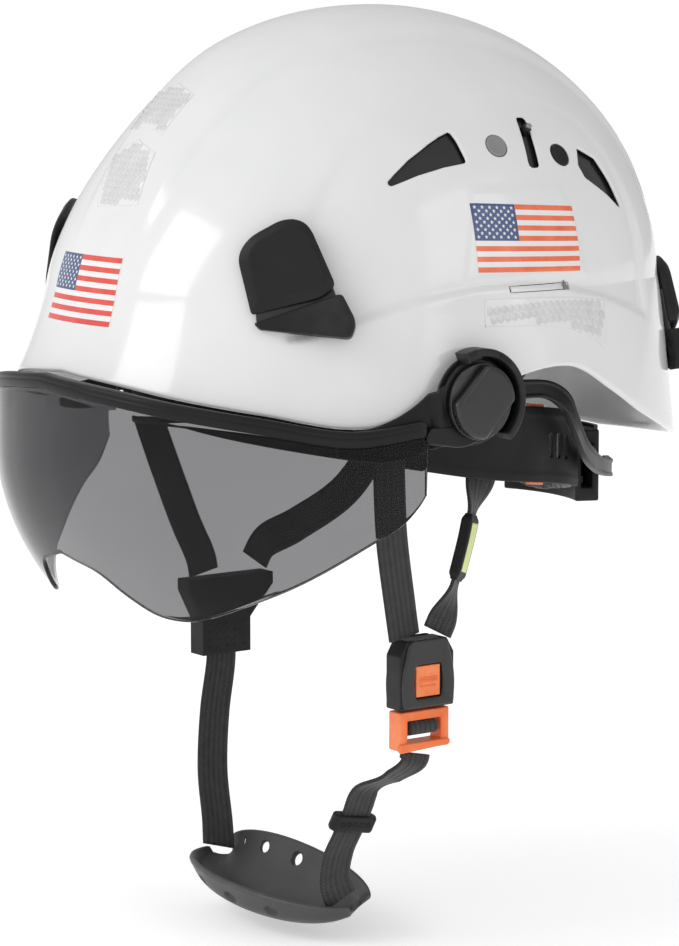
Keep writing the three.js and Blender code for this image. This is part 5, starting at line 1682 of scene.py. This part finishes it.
tab_bore = rounded([(-7.9, -1.25), (7.9, -1.25), (7.9, 1.25), (-7.9, 1.25)], 0.6, 4)
tab = sleeve(
    "tab_sleeve", stations(REAR_LEFT, TAB_FROM, TAB_TO, 40, twist), tab_section, tab_bore, BLACK_SOFT,
    "helmet"
)
strip_where = stations(REAR_LEFT, TAB_FROM + 0.025, TAB_TO - 0.03, 30, twist)
strips = []
for sign, lift in ((1, 2.25), (-1, 2.25)):
    shape = [
        (-6.6, sign * (lift - 0.5)), (6.6, sign * (lift - 0.5)), (6.6, sign * (lift + 0.12)),
        (-6.6, sign * (lift + 0.12))
    ]
    strips.append(swept("tab_strip", strip_where, shape, LIME, "helmet", strap=False))
tab = joined("reflective_tab_detailed", [tab] + strips, "helmet")
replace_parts(tab, "reflective_tab")

# ------------------------------------------------------------------ buckle
BUTTON_HALF, BUTTON_LOW, BUTTON_HIGH = 6.4, -155.5, -142.0
refined("buckle_housing", BLACK, 0.9, "buckle_casing")
cover_outline = [
    (-12.6, BUCKLE_BOTTOM + 0.6), (-13.4, -147), (-9.4, BUCKLE_TOP + 0.4), (9.4, BUCKLE_TOP + 0.4),
    (13.4, -147), (12.6, BUCKLE_BOTTOM + 0.6)
]
cover_outline = [(y + BUCKLE_Y, z) for y, z in cover_outline]
window = [
    (-BUTTON_HALF, BUTTON_LOW), (-BUTTON_HALF - 0.9, -150), (-BUTTON_HALF, BUTTON_HIGH),
    (BUTTON_HALF, BUTTON_HIGH), (BUTTON_HALF + 0.9, -150), (BUTTON_HALF, BUTTON_LOW)
]
window = [(y + BUCKLE_Y, z) for y, z in window]
cover_shape, window_shape = rounded(cover_outline, [2, 6, 3, 3, 6, 2], 7), rounded(
    window, [1.5, 3, 1.5, 1.5, 3, 1.5], 7
)
cover = tube_ring(
    "buckle_cover", window_shape, cover_shape, 0.0, 1.5, at_x(BUCKLE_X + 4.9), BLACK_GLOSS, "helmet", 1.0
)
back = tube_ring(
    "buckle_back_rib", window_shape, cover_shape, 0.0, 0.5, at_x(BUCKLE_X - 5.4), BLACK, "helmet", 0.3
)
dressing = joined("buckle_cover_detailed", [cover, back], "helmet")


def bowed(name, outline, low, rise, frame_at, material, body):
    """A block whose top is bowed along its length and ribbed across it."""
    outline = np.asarray(outline, float)
    middle, span = outline.mean(0), np.ptp(outline, axis=0)
    s, t = np.meshgrid(np.linspace(-0.5, 0.5, 15), np.linspace(-0.5, 0.5, 57))
    y, z = middle[0] + s * span[0], middle[1] + t * span[1]
    edge = np.minimum(smooth((0.5 - np.abs(s)) / 0.08), smooth((0.5 - np.abs(t)) / 0.06))
    ribs = 0.28 * np.maximum(
        0, np.sin(t * span[1] * 2 * np.pi / 1.25)
    ) * (np.abs(s) < 0.36) * (np.abs(t) < 0.42)
    lift = low + (rise * (1 - (2 * t) ** 2 * 0.7) + ribs) * (0.35 + 0.65 * edge)
    origin, ex, ey, ez = frame_at
    top = origin + y[..., None] * ex + z[..., None] * ey + lift[..., None] * ez
    bottom = origin + y[..., None] * ex + z[..., None] * ey + (0 * lift + low - 1.5)[..., None] * ez
    return sheet_from(name, top, bottom, material, body)


button_outline = [
    (BUCKLE_Y - 5.4, BUTTON_LOW + 0.7), (BUCKLE_Y + 5.4, BUTTON_LOW + 0.7),
    (BUCKLE_Y + 5.4, BUTTON_HIGH - 0.7), (BUCKLE_Y - 5.4, BUTTON_HIGH - 0.7)
]
button = bowed("button_cap", button_outline, 3.6, 2.0, at_x(BUCKLE_X), ORANGE, "button")
refined("buckle_button", ORANGE, 0.4, "button_flange")

# Tongue: a blade inside the housing and a frame that takes the webbing.
refined("buckle_tongue", ORANGE, 0.7, "buckle_tongue_frame")
lip_outline = rounded(
    [
        (BUCKLE_Y - 13.0, TONGUE_BOTTOM - 0.6), (BUCKLE_Y + 12.4, TONGUE_BOTTOM + 0.6),
        (BUCKLE_Y + 12.4, TONGUE_BOTTOM + 3.2), (BUCKLE_Y - 13.0, TONGUE_BOTTOM + 3.2)
    ],
    1.2
)
block("buckle_tongue_lip", lip_outline, 0.0, 1.3, at_x(BUCKLE_X + 2.9), ORANGE, "chin_loop", 0.6)

# ------------------------------------------------------------------ strap divider
refined("strap_divider", BLACK_SOFT, 0.9, "strap_divider_body")
DOT_ROWS, DOT_COLUMNS, DOT_STEP_Y, DOT_STEP_Z = 4, 5, 4.5, 3.3
dots = []
for row in range(DOT_ROWS):
    for column in range(DOT_COLUMNS):
        y = DIVIDER_Y + (column - (DOT_COLUMNS - 1) / 2) * DOT_STEP_Y
        z = DIVIDER_BOTTOM + 3.2 + row * DOT_STEP_Z
        dot = [(circle2(0.75, 10), 0), (circle2(0.7, 10), 0.48), (circle2(0.35, 10), 0.56)]
        dots.append(lofted("dot", dot, at_x(DIVIDER_X + 4.6, y, z), BLACK_SOFT, "helmet"))
joined("strap_divider_grip", dots, "helmet")
refined("divider_bar", STEEL, 0.2)

# ------------------------------------------------------------------ strap slider
middle = (SLIDER_FROM + SLIDER_TO) / 2
run = unit(SLIDER_TO - SLIDER_FROM)
side = unit(np.array([0, 1.0, 0]) - run[1] * run)
normal = unit(np.cross(run, side))


slider_where = stations([tuple(middle - run * 3.5), tuple(middle + run * 3.5)], 0, 1, 12)
outer_shape = rounded([(-11.4, 0), (-10, -2.6), (10, -2.6), (11.4, 0), (10, 2.6), (-10, 2.6)], 0.9, 4)
slider_bore = rounded(
    [(-7.9, 0), (-7.9, -1.25), (7.9, -1.25), (7.9, 0), (7.9, 1.25), (-7.9, 1.25)], 0.4, 4
)
slider_body = sleeve(
    "slider_sleeve", slider_where,
    lambda share: outer_shape * (1 - 0.05 * smooth(1 - min(share, 1 - share) / 0.12)), slider_bore, BLACK,
    "slider"
)
pits = []
for sign in (1, -1):
    for column in range(5):
        origin = middle + side * (column - 2) * 3.4 + normal * sign * 2.35
        frame_at = (origin, side, run, normal * sign)
        pits.append(
            tube_ring(
                "pit", circle2(0.75, 14), circle2(1.3, 14), 0.0, 0.45, frame_at, BLACK_SOFT, "slider",
                0.12
            )
        )
slider = joined("strap_slider_detailed", [slider_body] + pits, "slider")
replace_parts(slider, "strap_slider")

# ------------------------------------------------------------------ chin cup
CUP_HALF, CUP_REACH, CUP_Y, CUP_WALL, CUP_TILT = 52.0, 38.0, -29.0, 3.0, 0.05
CUP_RIM, CUP_FLOOR, CUP_BACK = -243.0, -255.5, -233.0


CUP_SECTION = [
    (0.98, 4, CUP_BACK), (0.9, -3, CUP_BACK - 12), (0.88, -18, CUP_FLOOR), (0.96, -32, CUP_FLOOR + 3),
    (1, -CUP_REACH, CUP_RIM),
]
CUP_LINE, _ = catmull([(share * CUP_HALF, y, z) for share, y, z in CUP_SECTION], 400)
CUP_US = np.linspace(0, 1, len(CUP_LINE))
CUP_TANGENT = unit(np.gradient(CUP_LINE, axis=0))


def cup_point(t, u, lift):
    t, u, lift = (np.asarray(q, float) for q in (t, u, lift))
    s, c = np.sin(np.radians(t)), np.cos(np.radians(t))
    p = np.stack([np.interp(u, CUP_US, CUP_LINE[:, i]) for i in range(3)], -1)
    n = np.stack([np.interp(u, CUP_US, CUP_TANGENT[:, i]) for i in range(3)], -1)
    x = (p[..., 0] - np.abs(n[..., 2]) * lift * 0.6) * s
    y = (p[..., 1] + 2) * (0.14 + 0.86 * c**0.8) - 2 + n[..., 2] * lift * c
    mid = (CUP_FLOOR + CUP_RIM) / 2 + 4
    z = mid + (p[..., 2] - mid) * (0.25 + 0.75 * c) - n[..., 1] * lift
    return stack(x, CUP_Y + y, z - x * CUP_TILT)


CUP_SCALE = (0.9, 75.0)
cup_holes = []
for t in (-30, 0, 30):
    cup_holes.append(Hole([(t, 0.11)], 3.9, CUP_SCALE, 0.7, fold_u=False))
cup_holes.append(Hole([(-55, 0.075), (-55, 0.13)], 0.9, CUP_SCALE, 0.3, fold_u=False))
cup_pits = [(t, 0.86) for t in (-30, 0, 30)]


def cup_outer(t, u, lift):
    sunk = 0
    for a, b in cup_pits:
        d = np.hypot((np.asarray(t) - a) * CUP_SCALE[0], (np.asarray(u) - b) * CUP_SCALE[1])
        sunk = sunk + 1.3 * smooth((4.6 - d) / 0.9)
    return cup_point(t, u, -np.asarray(lift) + sunk + 0.05)


cup = pierced(
    "chin_cup_moulded", np.linspace(-84, 84, 190), np.linspace(0, 1, 90), cup_outer, lambda t,
    u: cup_point(t, u, CUP_WALL), cup_holes, ARM_GREY, "chin_loop", rim_round=1.2
)
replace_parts(cup, "chin_cup")

# ------------------------------------------------------------------ nape arms, ratchet, clips, anchors
NAPE_ARM = [
    (93, -15, -32), (92.5, 10, -32.5), (90, 30, -34), (87, 42, -40), (82, 51, -50), (74, 63, -62),
    (62.5, 79.5, -71),
    (45.5, 101, -76.5), (27, 114.5, -78),
]


def nape_section(share):
    half = 4.0 - 0.3 * smooth(share * 4)
    rib = 0.5
    return rounded(
        [
            (-half, -1.5), (half, -1.5), (half, 1.5), (half - 1.2, 1.5), (half - 1.7, 1.5 - rib),
            (-half + 1.7, 1.5 - rib), (-half + 1.2, 1.5), (-half, 1.5)
        ],
        0.5, 3
    )


nape_arm = swept(
    "nape_arm_left_detailed", stations(NAPE_ARM, 0, 1, 80, (0, 0, 1)), nape_section, BLACK_DEEP,
    "suspension", strap=False
)
pair(crisp(nape_arm), "suspension", "nape_arm")
for name, material, edge in (
    ("ratchet_housing", BLACK, 1.2), ("ratchet_cover", BLACK_GLOSS, 0.7),
    ("ratchet_knob", BLACK_GLOSS, 0.5), ("pinion", GREY, 0.1),
    ("rack_left", GREY, 0.15), ("rack_right", GREY, 0.15), ("band_clip_left", ORANGE, 0.4),
    ("band_clip_right", ORANGE, 0.4),
    ("anchor_front_left", BLACK, 0.8), ("anchor_front_right", BLACK, 0.8),
    ("anchor_side_left", BLACK, 0.8),
    ("anchor_side_right", BLACK, 0.8), ("anchor_rear_left", BLACK, 0.8),
    ("anchor_rear_right", BLACK, 0.8),
):
    refined(name, material, edge)


# ------------------------------------------------------------------ padded pieces
PAD_PRESSURE, PAD_FRAMES, PAD_VOXEL = 4, 20, 1.5


def ring_pad(name, start, end, inner, outer, low, high, columns, node_name, cap, channels):
    """A foam pad on the headband: blown up as cloth, then sewn down along its channels."""
    us, hs = np.linspace(start, end, columns), np.linspace(low + 0.7, high - 0.7, 12)
    U, H = np.meshgrid(us, hs)
    top, bottom = head_point(U, outer, H), head_point(U, inner, H)
    pad = sheet_from(name, top, bottom, CLOTH, "suspension")
    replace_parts(pad, node_name)
    remesh = pad.modifiers.new("remesh", "REMESH")
    remesh.mode, remesh.voxel_size = "VOXEL", PAD_VOXEL * MM
    apply_all(pad)
    rest = vertices(pad)
    cloth = pad.modifiers.new("cloth", "CLOTH")
    cloth.settings.use_pressure = True
    cloth.settings.uniform_pressure_force = PAD_PRESSURE
    cloth.settings.effector_weights.gravity = 0
    cloth.settings.quality = 5
    cloth.point_cache.frame_start, cloth.point_cache.frame_end = 1, PAD_FRAMES
    for step in range(1, PAD_FRAMES + 1):
        bpy.context.scene.frame_set(step)
    apply_all(pad)
    bpy.context.scene.frame_set(1)
    moved = vertices(pad) - rest
    size = np.linalg.norm(moved, axis=1, keepdims=True)
    moved *= np.minimum(1, cap / np.maximum(size, 1e-9))
    # Sewn channels run across the pad at even steps.
    angle = np.degrees(np.arctan2(rest[:, 0], HEAD_CENTRE - rest[:, 1])) % 360
    if start < 0:
        angle = (angle + 180) % 360 - 180
    nearest = np.min(np.abs(angle[:, None] - np.array(channels)[None]), axis=1) * 1.6
    centre = head_point(angle, (inner + outer) / 2, 0)[:, :2]
    towards = unit(np.concatenate([centre - rest[:, :2], np.zeros((len(rest), 1))], axis=1))
    pinch = 0.75 * np.exp(-((nearest / 1.1) ** 2))
    put_vertices(pad, rest + moved + towards * pinch[:, None])
    finer = pad.modifiers.new("finer", "SUBSURF")
    finer.levels = finer.render_levels = 1
    apply_all(pad)
    pad.data.polygons.foreach_set("use_smooth", [True] * len(pad.data.polygons))
    return pad


def apply_all(obj):
    """Bakes an object's modifiers into its mesh."""
    graph = bpy.context.evaluated_depsgraph_get()
    mesh = bpy.data.meshes.new_from_object(obj.evaluated_get(graph))
    materials = list(obj.data.materials)
    obj.modifiers.clear()
    obj.data = mesh
    mesh.materials.clear()
    for material in materials:
        mesh.materials.append(material)


SWEATBAND_SEAMS, NAPE_SEAMS = list(range(-60, 61, 20)), [155, 172, 188, 205]  # degrees round the head
ring_pad("sweatband_padded", -72, 72, -3.1, -0.9, -14, 17, 120, "sweatband", 0.45, SWEATBAND_SEAMS)
ring_pad("nape_pad_padded", 140, 220, -9.4, -6.3, -14, 14, 80, "nape_pad", 0.5, NAPE_SEAMS)
